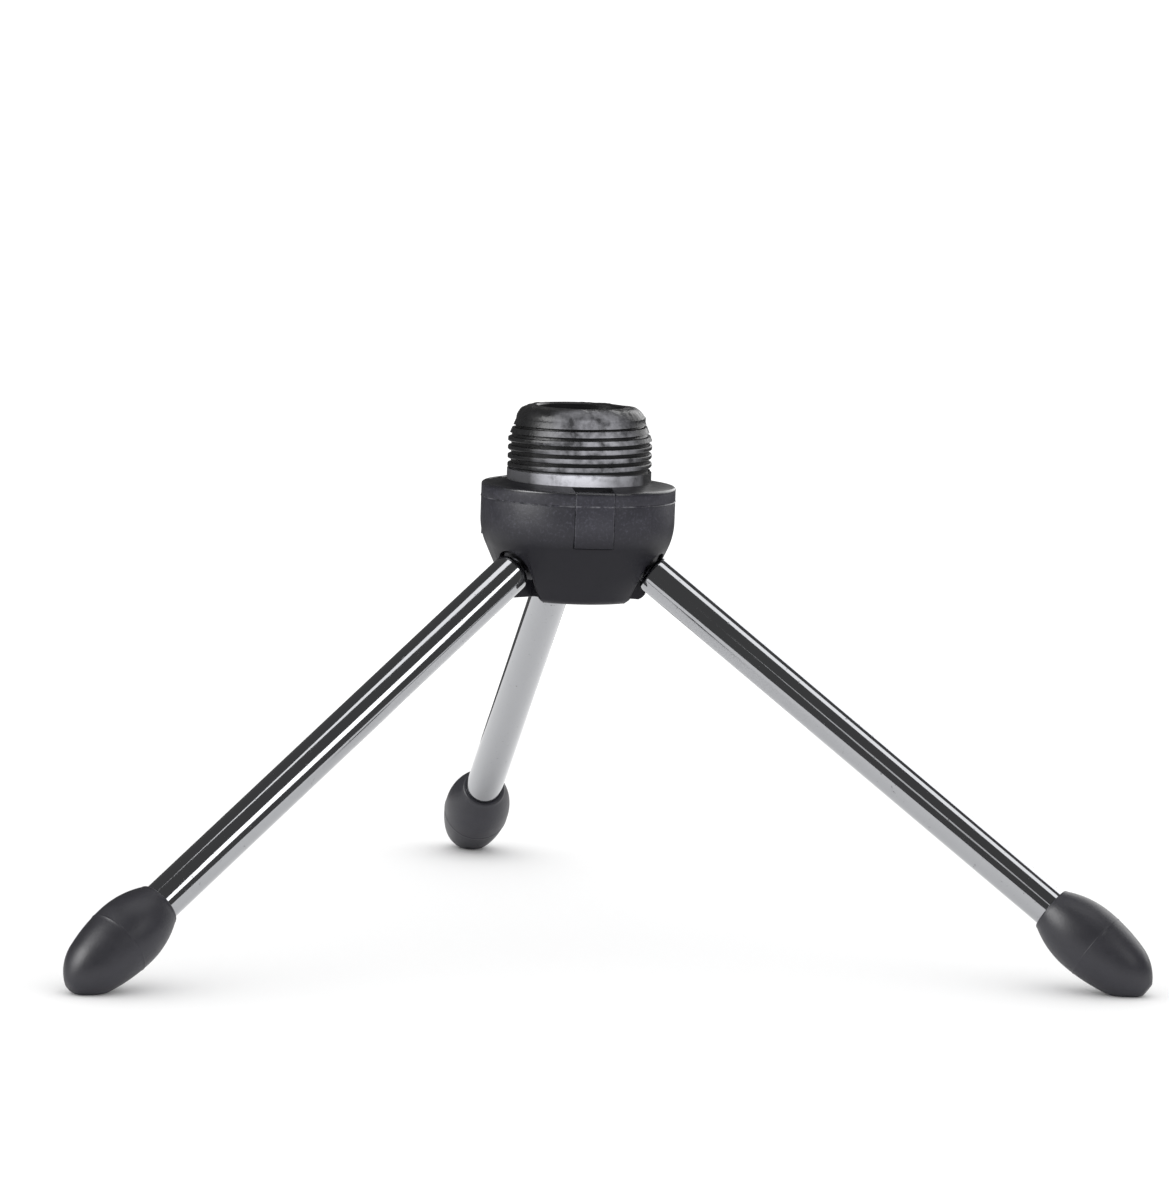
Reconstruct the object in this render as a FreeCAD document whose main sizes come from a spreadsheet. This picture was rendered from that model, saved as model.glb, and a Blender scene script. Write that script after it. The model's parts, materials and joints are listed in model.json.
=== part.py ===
"""Folding desktop microphone stand: a three-legged hub with a 5/8"-27 stud on top.

Frame: +Z up, origin on the desk under the hub's axis, legs open. The rear leg points along +Y.
"""
import FreeCAD, Part
import math
import os

import Sketcher
from FreeCAD import Placement, Rotation, Vector

# Driving dimensions, millimetres and degrees. Hub heights are counted from the hub's underside, and
# leg distances along the leg from the point where its centre line crosses the hub's axis.
DIMENSIONS = {
    # stance
    "leg_angle": 35.3,
    "crossing_height": 47.6,
    "crossing_in_hub": 9.61,
    # hub body
    "hub_radius": 10.6,
    "wall_foot": 7.85,
    "knee_rounding": 3.2,
    "petal_angle": 24.5,
    "bottom_rounding": 1.0,
    "parting_height": 11.0,
    "screw_hole_radius": 1.65,
    "head_recess_radius": 3.5,
    "head_recess_depth": 2.85,
    # leg slots and hinges
    "slot_width": 4.8,
    "slot_inner": 4.25,
    "slot_outer_wall": 8.6,
    "arch_drop": 0.12,
    "pivot_radius": 6.5,
    "pin_radius": 0.8,
    "pin_length": 8.0,
    "pin_play": 0.03,
    "pin_end_play": 0.1,
    "pin_bevel": 0.2,
    # cap
    "cap_edge": 1.2,
    "cap_slope": 10.0,
    "rim_rounding": 0.3,
    "land_radius": 8.2,
    "seat_radius": 7.6,
    "seat_depth": 1.05,
    "key_flats": 5.6,
    "key_depth": 1.0,
    # keepers between the legs
    "tab_width": 4.25,
    "tab_height": 6.0,
    "tab_gap": 0.05,
    "lip_thickness": 0.6,
    "pocket_inner": 7.9,
    "bar_inner": 5.95,
    "bar_outer": 7.4,
    "bar_width": 9.0,
    "post_radius": 0.6,
    "post_from_leg": 3.45,
    "lip_root": 0.5,
    # stud
    "thread_radius": 7.88,
    "thread_root": 7.42,
    "thread_pitch": 0.9407,
    "thread_turns": 6,
    "thread_crest": 0.3,
    "thread_run_in": 0.5,
    "thread_bury": 0.05,
    "lead_in_angle": 22.0,
    "neck_height": 1.15,
    "threaded_height": 5.45,
    "pilot_radius": 7.05,
    "pilot_height": 1.55,
    "pilot_rounding": 1.3,
    "stud_bore": 4.7,
    "stud_floor": 1.2,
    # centre fasteners
    "screw_radius": 1.5,
    "screw_length": 14.0,
    "screw_head_radius": 2.9,
    "screw_head_height": 2.0,
    "screw_head_rounding": 0.8,
    "screw_end_bevel": 0.4,
    "recess_half_length": 1.6,
    "recess_half_width": 0.45,
    "recess_depth": 1.2,
    "washer_radius": 3.4,
    "washer_thickness": 0.5,
    "nut_flats": 5.5,
    "nut_height": 2.4,
    # legs
    "tube_radius": 2.125,
    "tube_wall": 0.5,
    "tube_roll": 0.85,
    "tube_start": 2.5,
    "tube_end": 76.5,
    "eye_width": 4.0,
    "eye_radius": 1.85,
    "eye_bar_radius": 2.1,
    "eye_neck": 1.1,
    "eye_gap": 0.4,
    "eye_shank": 7.0,
    "eye_overlap": 0.3,
    "eye_play": 0.02,
    # feet, shaped by three arcs along the leg
    "foot_mouth": 67.5,
    "foot_mouth_radius": 2.55,
    "foot_belly": 5.2,
    "foot_radius": 3.8,
    "foot_shoulder": 10.2,
    "foot_shoulder_radius": 3.18,
    "foot_length": 13.5,
    "foot_tip_radius": 0.8,
    "foot_nose": 5.5,
    "foot_lip_depth": 0.5,
    "foot_lip_play": 0.12,
    "foot_play": 0.01,
    "foot_end_gap": 0.05,
    # how far a cutting outline reaches past what it cuts
    "cut_margin": 1.0,
}

LEG_AZIMUTHS = {"left": 210, "right": 330, "rear": 90}
KEEPER_AZIMUTHS = {"front": 270, "right": 30, "left": 150}

doc = FreeCAD.newDocument("desktop_mic_stand")
sheet = doc.addObject("Spreadsheet::Sheet", "sheet")
for row, (alias, value) in enumerate(DIMENSIONS.items(), start=1):
    sheet.set(f"A{row}", alias)
    sheet.set(f"B{row}", str(value))
    sheet.setAlias(f"B{row}", alias)
doc.recompute()

sub_parts = []


def size(expression):
    """The value of a sheet expression, for first guesses and placements."""
    return float(sheet.evalExpression(expression))


def new_body(label):
    body = doc.addObject("PartDesign::Body", label)
    body.Label = label
    sub_parts.append(body)
    return body


def origin_feature(body, role):
    return next(part for part in body.Origin.OriginFeatures if part.Role == role)


def new_sketch(body, role, name, lift=None):
    """A sketch on one of the body's own origin planes, lifted along its normal by an expression."""
    sketch = body.newObject("Sketcher::SketchObject", name)
    sketch.AttachmentSupport = [(origin_feature(body, role), "")]
    sketch.MapMode = "FlatFace"
    if lift:
        sketch.setExpression("AttachmentOffset.Base.z", lift)
    return sketch


def pin_down(sketch, kind, expression, *ends):
    """Adds one dimension and binds it to the sheet."""
    number = sketch.addConstraint(Sketcher.Constraint(kind, *ends, float(sketch.evalExpression(expression))))
    name = f"{kind.lower()}_{number}"
    sketch.renameConstraint(number, name)
    sketch.setExpression(f"Constraints.{name}", expression)


def place_corner(sketch, edge, end, x_size, y_size):
    """Fixes one end of an edge at sheet expressions; "0" puts it on an axis."""
    if x_size == "0":
        sketch.addConstraint(Sketcher.Constraint("PointOnObject", edge, end, -2))
    else:
        pin_down(sketch, "DistanceX", x_size, -1, 1, edge, end)
    if y_size == "0":
        sketch.addConstraint(Sketcher.Constraint("PointOnObject", edge, end, -1))
    else:
        pin_down(sketch, "DistanceY", y_size, -1, 1, edge, end)


def arc_between(start, finish, radius, centre_side):
    """The short arc from start to finish, with its centre on the left or right of the way."""
    chord = finish - start
    middle = (start + finish) * 0.5
    left = Vector(-chord.y, chord.x, 0).normalize()
    reach = math.sqrt(max(radius ** 2 - (chord.Length / 2) ** 2, 0))
    centre = middle + left * (reach if centre_side == "left" else -reach)
    first, last = (start, finish) if centre_side == "left" else (finish, start)
    first_angle = math.atan2(first.y - centre.y, first.x - centre.x)
    last_angle = math.atan2(last.y - centre.y, last.x - centre.x)
    if last_angle < first_angle:
        last_angle += 2 * math.pi
    return Part.ArcOfCircle(Part.Circle(centre, Vector(0, 0, 1), radius), first_angle, last_angle)


def draw_outline(sketch, corners):
    """Draws a closed outline through corners.

    A corner is (x, y), or (x, y, radius, side) where the next side is an arc centred on that side.
    """
    points = [Vector(size(corner[0]), size(corner[1]), 0) for corner in corners]
    starts = []
    finishes = []
    for number, corner in enumerate(corners):
        start = points[number]
        finish = points[(number + 1) % len(points)]
        if len(corner) == 2:
            sketch.addGeometry(Part.LineSegment(start, finish), False)
            starts.append(1)
            finishes.append(2)
        else:
            sketch.addGeometry(arc_between(start, finish, size(corner[2]), corner[3]), False)
            starts.append(1 if corner[3] == "left" else 2)
            finishes.append(2 if corner[3] == "left" else 1)
    for number in range(len(corners)):
        after = (number + 1) % len(corners)
        joint = Sketcher.Constraint("Coincident", number, finishes[number], after, starts[after])
        sketch.addConstraint(joint)
    for number, corner in enumerate(corners):
        place_corner(sketch, number, starts[number], corner[0], corner[1])
        if len(corner) == 4:
            pin_down(sketch, "Radius", corner[2], number)


def draw_circle(sketch, radius, x_size="0"):
    sketch.addGeometry(Part.Circle(Vector(size(x_size), 0, 0), Vector(0, 0, 1), size(radius)), False)
    place_corner(sketch, 0, 3, x_size, "0")
    pin_down(sketch, "Radius", radius, 0)


def draw_hexagon(sketch, flats):
    """A hexagon about the origin, from its width across flats."""
    corner = f"{flats} / sqrt(3)"
    half = f"{flats} / 2"
    draw_outline(sketch, [
        (corner, "0"),
        (f"{corner} / 2", half),
        (f"0 - {corner} / 2", half),
        (f"0 - {corner}", "0"),
        (f"0 - {corner} / 2", f"0 - {half}"),
        (f"{corner} / 2", f"0 - {half}"),
    ])


def box_outline(low_x, high_x, half_width):
    """Corners of a rectangle that is symmetric about the X axis."""
    below = f"0 - {half_width}"
    return [(low_x, below), (high_x, below), (high_x, half_width), (low_x, half_width)]


def turn(body, sketch, axis="V_Axis", kind="Revolution"):
    feature = body.newObject(f"PartDesign::{kind}", f"{sketch.Name}_turned")
    feature.Profile = sketch
    feature.ReferenceAxis = (sketch, [axis])
    feature.Angle = 360
    return feature


def stretch(body, sketch, kind, length, side="One side", reverse=False):
    """A Pad or a Pocket of a bound length."""
    feature = body.newObject(f"PartDesign::{kind}", f"{sketch.Name}_{kind.lower()}")
    feature.Profile = sketch
    feature.SideType = side
    feature.Reversed = reverse
    feature.setExpression("Length", length)
    return feature


def cut_through(body, sketch):
    feature = body.newObject("PartDesign::Pocket", f"{sketch.Name}_cut")
    feature.Profile = sketch
    feature.Type = "ThroughAll"
    feature.SideType = "Symmetric"
    return feature


def three_times(body, features):
    """Repeats features three times round the body's Z axis."""
    pattern = body.newObject("PartDesign::PolarPattern", "ThreeTimes")
    pattern.Originals = features
    pattern.Axis = (origin_feature(body, "Z_Axis"), [""])
    pattern.Angle = 360
    pattern.Occurrences = 3
    body.Tip = pattern
    return pattern


def soften(body, kind, radius, is_wanted):
    """A Fillet or Chamfer on every edge of the tip for which is_wanted(edge) holds."""
    doc.recompute()
    base = body.Tip
    names = [f"Edge{n}" for n, edge in enumerate(base.Shape.Edges, start=1) if is_wanted(edge)]
    feature = body.newObject(f"PartDesign::{kind}", f"{body.Name}_{kind.lower()}")
    feature.Base = (base, names)
    feature.setExpression("Radius" if kind == "Fillet" else "Size", radius)
    return feature


def is_ring(edge, radius, height):
    """True for an arc about the Z axis with this radius at this height."""
    return (
        isinstance(edge.Curve, Part.Circle)
        and abs(edge.Curve.Radius - radius) < 1e-4
        and abs(edge.Curve.Center.z - height) < 1e-4
        and math.hypot(edge.Curve.Center.x, edge.Curve.Center.y) < 1e-4
    )


def place_in_hub(body, height, azimuth=0):
    """Puts a body on the hub's axis at a height above the hub's underside."""
    body.Placement = Placement(Vector(0, 0, 0), Rotation(Vector(0, 0, 1), azimuth))
    body.setExpression("Placement.Base.z", f"{HUB_BOTTOM} + {height}")


def place_on_leg(body, side):
    """Lays a body's X axis along a leg's centre line, from the crossing point outwards."""
    tilt = Rotation(Vector(0, 1, 0), size("sheet.leg_angle"))
    swing = Rotation(Vector(0, 0, 1), LEG_AZIMUTHS[side])
    body.Placement = Placement(Vector(0, 0, 0), swing * tilt)
    body.setExpression("Placement.Base.z", "sheet.crossing_height")


HUB_BOTTOM = "(sheet.crossing_height - sheet.crossing_in_hub)"
LEG_SLOPE = "tan(sheet.leg_angle)"
PIVOT_HEIGHT = f"(sheet.crossing_in_hub - sheet.pivot_radius * {LEG_SLOPE})"
PIVOT_ON_LEG = "(sheet.pivot_radius / cos(sheet.leg_angle))"
RIM_RADIUS = "(sheet.hub_radius - sheet.rim_rounding * (1 - sin(sheet.cap_slope)))"
RIM_HEIGHT = "(sheet.cap_edge + sheet.rim_rounding * cos(sheet.cap_slope))"
CAP_TOP = f"({RIM_HEIGHT} + ({RIM_RADIUS} - sheet.land_radius) * tan(sheet.cap_slope))"
SEAT_HEIGHT = f"({CAP_TOP} - sheet.seat_depth)"
STUD_SEAT = f"(sheet.parting_height + {SEAT_HEIGHT})"
KNEE_HEIGHT = "(sheet.wall_foot - sheet.knee_rounding * sin(sheet.petal_angle))"
KNEE_RADIUS = "(sheet.hub_radius - sheet.knee_rounding * (1 - cos(sheet.petal_angle)))"
BOTTOM_RADIUS = f"({KNEE_RADIUS} - {KNEE_HEIGHT} * tan(sheet.petal_angle))"
HEAD_SEAT = "(sheet.head_recess_depth - sheet.washer_thickness)"


# ---- hub -------------------------------------------------------------------------------------

def cut_leg_slot(body):
    """The slot a leg folds through, open below and outside, and the room to fit the leg from above."""
    inner = "sheet.slot_inner"
    wall = "sheet.slot_outer_wall"
    outside = "sheet.hub_radius + sheet.cut_margin"
    below = "0 - sheet.cut_margin"
    above = "sheet.parting_height + sheet.cut_margin"
    slot = new_sketch(body, "XZ_Plane", "LegSlot")
    draw_outline(slot, [
        (inner, below),
        (outside, below),
        (outside, f"sheet.crossing_in_hub - ({outside}) * {LEG_SLOPE}"),
        (wall, f"sheet.crossing_in_hub - {wall} * {LEG_SLOPE}"),
        (wall, above),
        (inner, above),
    ])
    return stretch(body, slot, "Pocket", "sheet.slot_width", side="Symmetric")


def cut_leg_arch(body):
    """The round-topped mouth of a slot, cut outwards along the open leg from its pivot."""
    half = "(sheet.slot_width / 2)"
    side_top = "0 - sheet.arch_drop"
    arch = new_sketch(body, "YZ_Plane", "LegArch")
    arch.AttachmentOffset = Placement(
        Vector(0, 0, 0), Rotation(Vector(1, 0, 0), size("sheet.leg_angle")))
    arch.setExpression("AttachmentOffset.Base.y", PIVOT_HEIGHT)
    arch.setExpression("AttachmentOffset.Base.z", "sheet.pivot_radius")
    draw_outline(arch, [
        (f"0 - {half}", "0 - sheet.cut_margin"),
        (half, "0 - sheet.cut_margin"),
        (half, side_top, half, "left"),
        ("0", f"{half} - sheet.arch_drop", half, "left"),
        (f"0 - {half}", side_top),
    ])
    return stretch(body, arch, "Pocket", "sheet.hub_radius", reverse=True)


def cut_pin_cradle(body):
    """The round-bottomed channel across a slot that a hinge pin drops into from above."""
    half = "(sheet.pin_radius + sheet.pin_play)"
    above = "sheet.parting_height + sheet.cut_margin"
    cradle = new_sketch(body, "XZ_Plane", "PinCradle")
    draw_outline(cradle, [
        (f"sheet.pivot_radius - {half}", PIVOT_HEIGHT, half, "left"),
        ("sheet.pivot_radius", f"{PIVOT_HEIGHT} - {half}", half, "left"),
        (f"sheet.pivot_radius + {half}", PIVOT_HEIGHT),
        (f"sheet.pivot_radius + {half}", above),
        (f"sheet.pivot_radius - {half}", above),
    ])
    return stretch(body, cradle, "Pocket", "sheet.pin_length + 2 * sheet.pin_end_play", side="Symmetric")


def tee_outline(inner, outer, bar_half, stem_half, outside):
    """Corners of a T along -X: a bar across the pin ends and a stem out through the wall."""
    return [
        (f"0 - {inner}", bar_half),
        (f"0 - {outer}", bar_half),
        (f"0 - {outer}", stem_half),
        (f"0 - {outside}", stem_half),
        (f"0 - {outside}", f"0 - {stem_half}"),
        (f"0 - {outer}", f"0 - {stem_half}"),
        (f"0 - {outer}", f"0 - {bar_half}"),
        (f"0 - {inner}", f"0 - {bar_half}"),
    ]


def cut_keeper_seat(body):
    """The T-shaped pocket that a keeper drops into from above."""
    seat = new_sketch(body, "XY_Plane", "KeeperSeat", lift="sheet.parting_height")
    draw_outline(seat, tee_outline(
        "(sheet.bar_inner - sheet.tab_gap)", "(sheet.bar_outer + sheet.tab_gap)",
        "(sheet.bar_width / 2 + sheet.tab_gap)", "(sheet.tab_width / 2 + sheet.tab_gap)",
        "(sheet.hub_radius + sheet.cut_margin)"))
    return stretch(body, seat, "Pocket", f"sheet.tab_height - {RIM_HEIGHT} + sheet.tab_gap")


def make_hub_body():
    body = new_body("hub_body")
    bowl = new_sketch(body, "YZ_Plane", "Bowl")
    draw_outline(bowl, [
        ("0", "0"),
        (BOTTOM_RADIUS, "0"),
        (KNEE_RADIUS, KNEE_HEIGHT, "sheet.knee_rounding", "left"),
        ("sheet.hub_radius", "sheet.wall_foot"),
        ("sheet.hub_radius", "sheet.parting_height"),
        ("0", "sheet.parting_height"),
    ])
    turn(body, bowl)
    soften(body, "Fillet", "sheet.bottom_rounding",
           lambda edge: is_ring(edge, size(BOTTOM_RADIUS), 0))

    three_times(body, [cut_leg_slot(body), cut_leg_arch(body), cut_pin_cradle(body), cut_keeper_seat(body)])

    hole = new_sketch(body, "XY_Plane", "ScrewHole")
    draw_circle(hole, "sheet.screw_hole_radius")
    cut_through(body, hole)
    recess = new_sketch(body, "XY_Plane", "HeadRecess")
    draw_circle(recess, "sheet.head_recess_radius")
    stretch(body, recess, "Pocket", "sheet.head_recess_depth", reverse=True)
    key_seat = new_sketch(body, "XY_Plane", "KeySeat", lift="sheet.parting_height")
    draw_hexagon(key_seat, "(sheet.key_flats + 2 * sheet.tab_gap)")
    stretch(body, key_seat, "Pocket", "sheet.key_depth + sheet.tab_gap")
    place_in_hub(body, "0", azimuth=LEG_AZIMUTHS["right"])


def make_hub_cap():
    """The top plate: a shallow cone with a round seat for the stud and three notches."""
    body = new_body("hub_cap")
    plate = new_sketch(body, "YZ_Plane", "Plate")
    draw_outline(plate, [
        ("0", "0"),
        ("sheet.hub_radius", "0"),
        ("sheet.hub_radius", "sheet.cap_edge", "sheet.rim_rounding", "left"),
        (RIM_RADIUS, RIM_HEIGHT),
        ("sheet.land_radius", CAP_TOP),
        ("sheet.seat_radius + sheet.tab_gap", CAP_TOP),
        ("sheet.seat_radius + sheet.tab_gap", SEAT_HEIGHT),
        ("0", SEAT_HEIGHT),
    ])
    turn(body, plate)
    notch = new_sketch(body, "XY_Plane", "TabNotch")
    draw_outline(notch, box_outline(
        "0 - (sheet.hub_radius + sheet.cut_margin)", "0 - sheet.pocket_inner",
        "(sheet.tab_width / 2 + sheet.tab_gap)"))
    three_times(body, [cut_through(body, notch)])
    key_hole = new_sketch(body, "XY_Plane", "KeyHole")
    draw_hexagon(key_hole, "(sheet.key_flats + 2 * sheet.tab_gap)")
    cut_through(body, key_hole)
    place_in_hub(body, "sheet.parting_height", azimuth=LEG_AZIMUTHS["right"])


def make_pin_keeper(side):
    """A keeper: a bar with two posts that hold pin ends down, a stem, and a tab that shows outside."""
    body = new_body(f"pin_keeper_{side}")
    half_tab = "(sheet.tab_width / 2)"
    rim = "sheet.hub_radius"
    tab_edge = f"sqrt({rim} ^ 2 - {half_tab} ^ 2)"
    lip = f"({rim} - sheet.lip_thickness)"
    under_cap = "(0 - sheet.tab_gap)"
    depth = f"(sheet.tab_height - {RIM_HEIGHT})"

    tee = new_sketch(body, "XY_Plane", "Tee", lift=under_cap)
    draw_outline(tee, [
        ("sheet.bar_inner", "0 - sheet.bar_width / 2"),
        ("sheet.bar_outer", "0 - sheet.bar_width / 2"),
        ("sheet.bar_outer", f"0 - {half_tab}"),
        (tab_edge, f"0 - {half_tab}", rim, "left"),
        (tab_edge, half_tab),
        ("sheet.bar_outer", half_tab),
        ("sheet.bar_outer", "sheet.bar_width / 2"),
        ("sheet.bar_inner", "sheet.bar_width / 2"),
    ])
    stretch(body, tee, "Pad", f"{depth} - sheet.tab_gap", reverse=True)

    upright = new_sketch(body, "XY_Plane", "TabLip", lift=f"{under_cap} - sheet.lip_root")
    draw_outline(upright, [
        (lip, f"0 - {half_tab}"),
        (tab_edge, f"0 - {half_tab}", rim, "left"),
        (tab_edge, half_tab),
        (lip, half_tab),
    ])
    stretch(body, upright, "Pad", f"{RIM_HEIGHT} + sheet.tab_gap + sheet.lip_root")
    soften(body, "Fillet", "sheet.rim_rounding",
           lambda edge: is_ring(edge, size(rim), size(RIM_HEIGHT)))

    post_radial = "(sheet.post_from_leg * cos(30) + sheet.pivot_radius * sin(30))"
    post_aside = "(sheet.pivot_radius * cos(30) - sheet.post_from_leg * sin(30))"
    reach = f"sheet.parting_height - {depth} - {PIVOT_HEIGHT} - sheet.pin_radius - sheet.pin_play"
    for direction in ("", "0 - "):
        post = new_sketch(body, "XY_Plane", "Post", lift=f"0 - {depth}")
        post.addGeometry(Part.Circle(Vector(0, 0, 0), Vector(0, 0, 1), size("sheet.post_radius")), False)
        place_corner(post, 0, 3, post_radial, f"{direction}{post_aside}")
        pin_down(post, "Radius", "sheet.post_radius", 0)
        stretch(body, post, "Pad", reach, reverse=True)
    place_in_hub(body, "sheet.parting_height", azimuth=KEEPER_AZIMUTHS[side])


# ---- stud and centre fasteners ---------------------------------------------------------------

def wind_thread(body):
    """The 60 degree thread, wound on the root cylinder and faded out on a lead-in cone."""
    tooth_base = "(sheet.thread_crest + 2 * (sheet.thread_radius - sheet.thread_root) * tan(30))"
    start = "(sheet.seat_depth + sheet.neck_height - sheet.thread_run_in)"
    tooth = new_sketch(body, "XZ_Plane", "Tooth")
    rootward = "(sheet.thread_root - sheet.thread_bury)"
    draw_outline(tooth, [
        (rootward, start),
        ("sheet.thread_radius", f"{start} + ({tooth_base} - sheet.thread_crest) / 2"),
        ("sheet.thread_radius", f"{start} + ({tooth_base} + sheet.thread_crest) / 2"),
        (rootward, f"{start} + {tooth_base}"),
    ])
    thread = body.newObject("PartDesign::AdditiveHelix", "Thread")
    thread.Profile = tooth
    thread.ReferenceAxis = (tooth, ["V_Axis"])
    thread.Mode = "pitch-turns-angle"
    thread.setExpression("Pitch", "sheet.thread_pitch")
    thread.setExpression("Turns", "sheet.thread_turns")
    thread.Reversed = False


def make_threaded_stud():
    body = new_body("threaded_stud")
    neck_top = "(sheet.seat_depth + sheet.neck_height)"
    thread_top = f"({neck_top} + sheet.threaded_height)"
    top = f"({thread_top} + sheet.pilot_height)"
    barrel = new_sketch(body, "XZ_Plane", "Barrel")
    draw_outline(barrel, [
        ("0", "0"),
        ("sheet.seat_radius", "0"),
        ("sheet.seat_radius", "sheet.seat_depth"),
        ("sheet.thread_radius", "sheet.seat_depth"),
        ("sheet.thread_radius", neck_top),
        ("sheet.thread_root", neck_top),
        ("sheet.thread_root", top),
        ("sheet.stud_bore", top),
        ("sheet.stud_bore", "sheet.stud_floor"),
        ("0", "sheet.stud_floor"),
    ])
    turn(body, barrel)
    wind_thread(body)
    lead_in = new_sketch(body, "YZ_Plane", "LeadIn")
    outside = "(sheet.thread_radius + sheet.cut_margin)"
    cone_foot = f"{thread_top} - ({outside} - sheet.pilot_radius) / tan(sheet.lead_in_angle)"
    draw_outline(lead_in, [
        ("sheet.pilot_radius", thread_top),
        (outside, cone_foot),
        (outside, f"{top} + sheet.cut_margin"),
        ("sheet.pilot_radius", f"{top} + sheet.cut_margin"),
    ])
    turn(body, lead_in, kind="Groove")
    soften(body, "Fillet", "sheet.pilot_rounding",
           lambda edge: is_ring(edge, size("sheet.pilot_radius"), size(top)))
    key = new_sketch(body, "XY_Plane", "Key")
    draw_hexagon(key, "sheet.key_flats")
    stretch(body, key, "Pad", f"{SEAT_HEIGHT} + sheet.key_depth", reverse=True)
    hole = new_sketch(body, "XY_Plane", "StudHole")
    draw_circle(hole, "sheet.screw_hole_radius")
    cut_through(body, hole)
    place_in_hub(body, STUD_SEAT, azimuth=LEG_AZIMUTHS["right"])


def make_clamp_screw():
    """A pan-head screw, head down, with a cross recess."""
    body = new_body("clamp_screw")
    shape = new_sketch(body, "XZ_Plane", "Screw")
    draw_outline(shape, [
        ("0", "0 - sheet.screw_head_height"),
        ("sheet.screw_head_radius", "0 - sheet.screw_head_height"),
        ("sheet.screw_head_radius", "0"),
        ("sheet.screw_radius", "0"),
        ("sheet.screw_radius", "sheet.screw_length - sheet.screw_end_bevel"),
        ("sheet.screw_radius - sheet.screw_end_bevel", "sheet.screw_length"),
        ("0", "sheet.screw_length"),
    ])
    turn(body, shape)
    soften(body, "Fillet", "sheet.screw_head_rounding",
           lambda edge: is_ring(edge, size("sheet.screw_head_radius"), -size("sheet.screw_head_height")))
    long_side = "sheet.recess_half_length"
    thin_side = "sheet.recess_half_width"
    for plane in ("along", "across"):
        bar = new_sketch(body, "XY_Plane", f"Recess_{plane}", lift="0 - sheet.screw_head_height")
        if plane == "along":
            draw_outline(bar, box_outline(f"0 - {long_side}", long_side, thin_side))
        else:
            draw_outline(bar, box_outline(f"0 - {thin_side}", thin_side, long_side))
        stretch(body, bar, "Pocket", "sheet.recess_depth", reverse=True)
    place_in_hub(body, HEAD_SEAT)


def make_clamp_washer():
    outer = doc.addObject("Part::Cylinder", "WasherDisc")
    outer.setExpression("Radius", "sheet.washer_radius")
    outer.setExpression("Height", "sheet.washer_thickness")
    hole = doc.addObject("Part::Cylinder", "WasherHole")
    hole.setExpression("Radius", "sheet.screw_hole_radius")
    hole.setExpression("Height", "sheet.washer_thickness")
    washer = doc.addObject("Part::Cut", "clamp_washer")
    washer.Base = outer
    washer.Tool = hole
    washer.Label = "clamp_washer"
    washer.setExpression("Placement.Base.z", f"{HUB_BOTTOM} + {HEAD_SEAT}")
    sub_parts.append(washer)


def make_clamp_nut():
    body = new_body("clamp_nut")
    hexagon = new_sketch(body, "XY_Plane", "Hexagon")
    draw_hexagon(hexagon, "sheet.nut_flats")
    stretch(body, hexagon, "Pad", "sheet.nut_height")
    bevel = new_sketch(body, "XZ_Plane", "CornerBevel")
    draw_outline(bevel, [
        ("sheet.nut_flats / 2", "sheet.nut_height"),
        ("sheet.nut_flats", "sheet.nut_height - sheet.nut_flats / 2 * tan(30)"),
        ("sheet.nut_flats", "sheet.nut_height"),
    ])
    turn(body, bevel, kind="Groove")
    hole = new_sketch(body, "XY_Plane", "NutHole")
    draw_circle(hole, "sheet.screw_radius")
    cut_through(body, hole)
    place_in_hub(body, f"{STUD_SEAT} + sheet.stud_floor")


# ---- legs ------------------------------------------------------------------------------------

def make_leg_tube(side):
    """A tube whose hub end is rolled in to hold the eye."""
    body = new_body(f"leg_tube_{side}")
    start = f"({PIVOT_ON_LEG} + sheet.tube_start)"
    bore = "(sheet.tube_radius - sheet.tube_wall)"
    roll = "sheet.tube_roll"
    inner_roll = "(sheet.tube_roll - sheet.tube_wall)"
    mouth = f"(sheet.tube_radius - {roll})"
    wall = new_sketch(body, "XY_Plane", "TubeWall")
    draw_outline(wall, [
        (start, "sheet.eye_neck + sheet.eye_play"),
        (f"{start} + sheet.tube_wall", "sheet.eye_neck + sheet.eye_play"),
        (f"{start} + sheet.tube_wall", mouth, inner_roll, "right"),
        (f"{start} + {roll}", bore),
        ("sheet.tube_end", bore),
        ("sheet.tube_end", "sheet.tube_radius"),
        (f"{start} + {roll}", "sheet.tube_radius", roll, "left"),
        (start, mouth),
    ])
    turn(body, wall, axis="H_Axis")
    place_on_leg(body, side)


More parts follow.
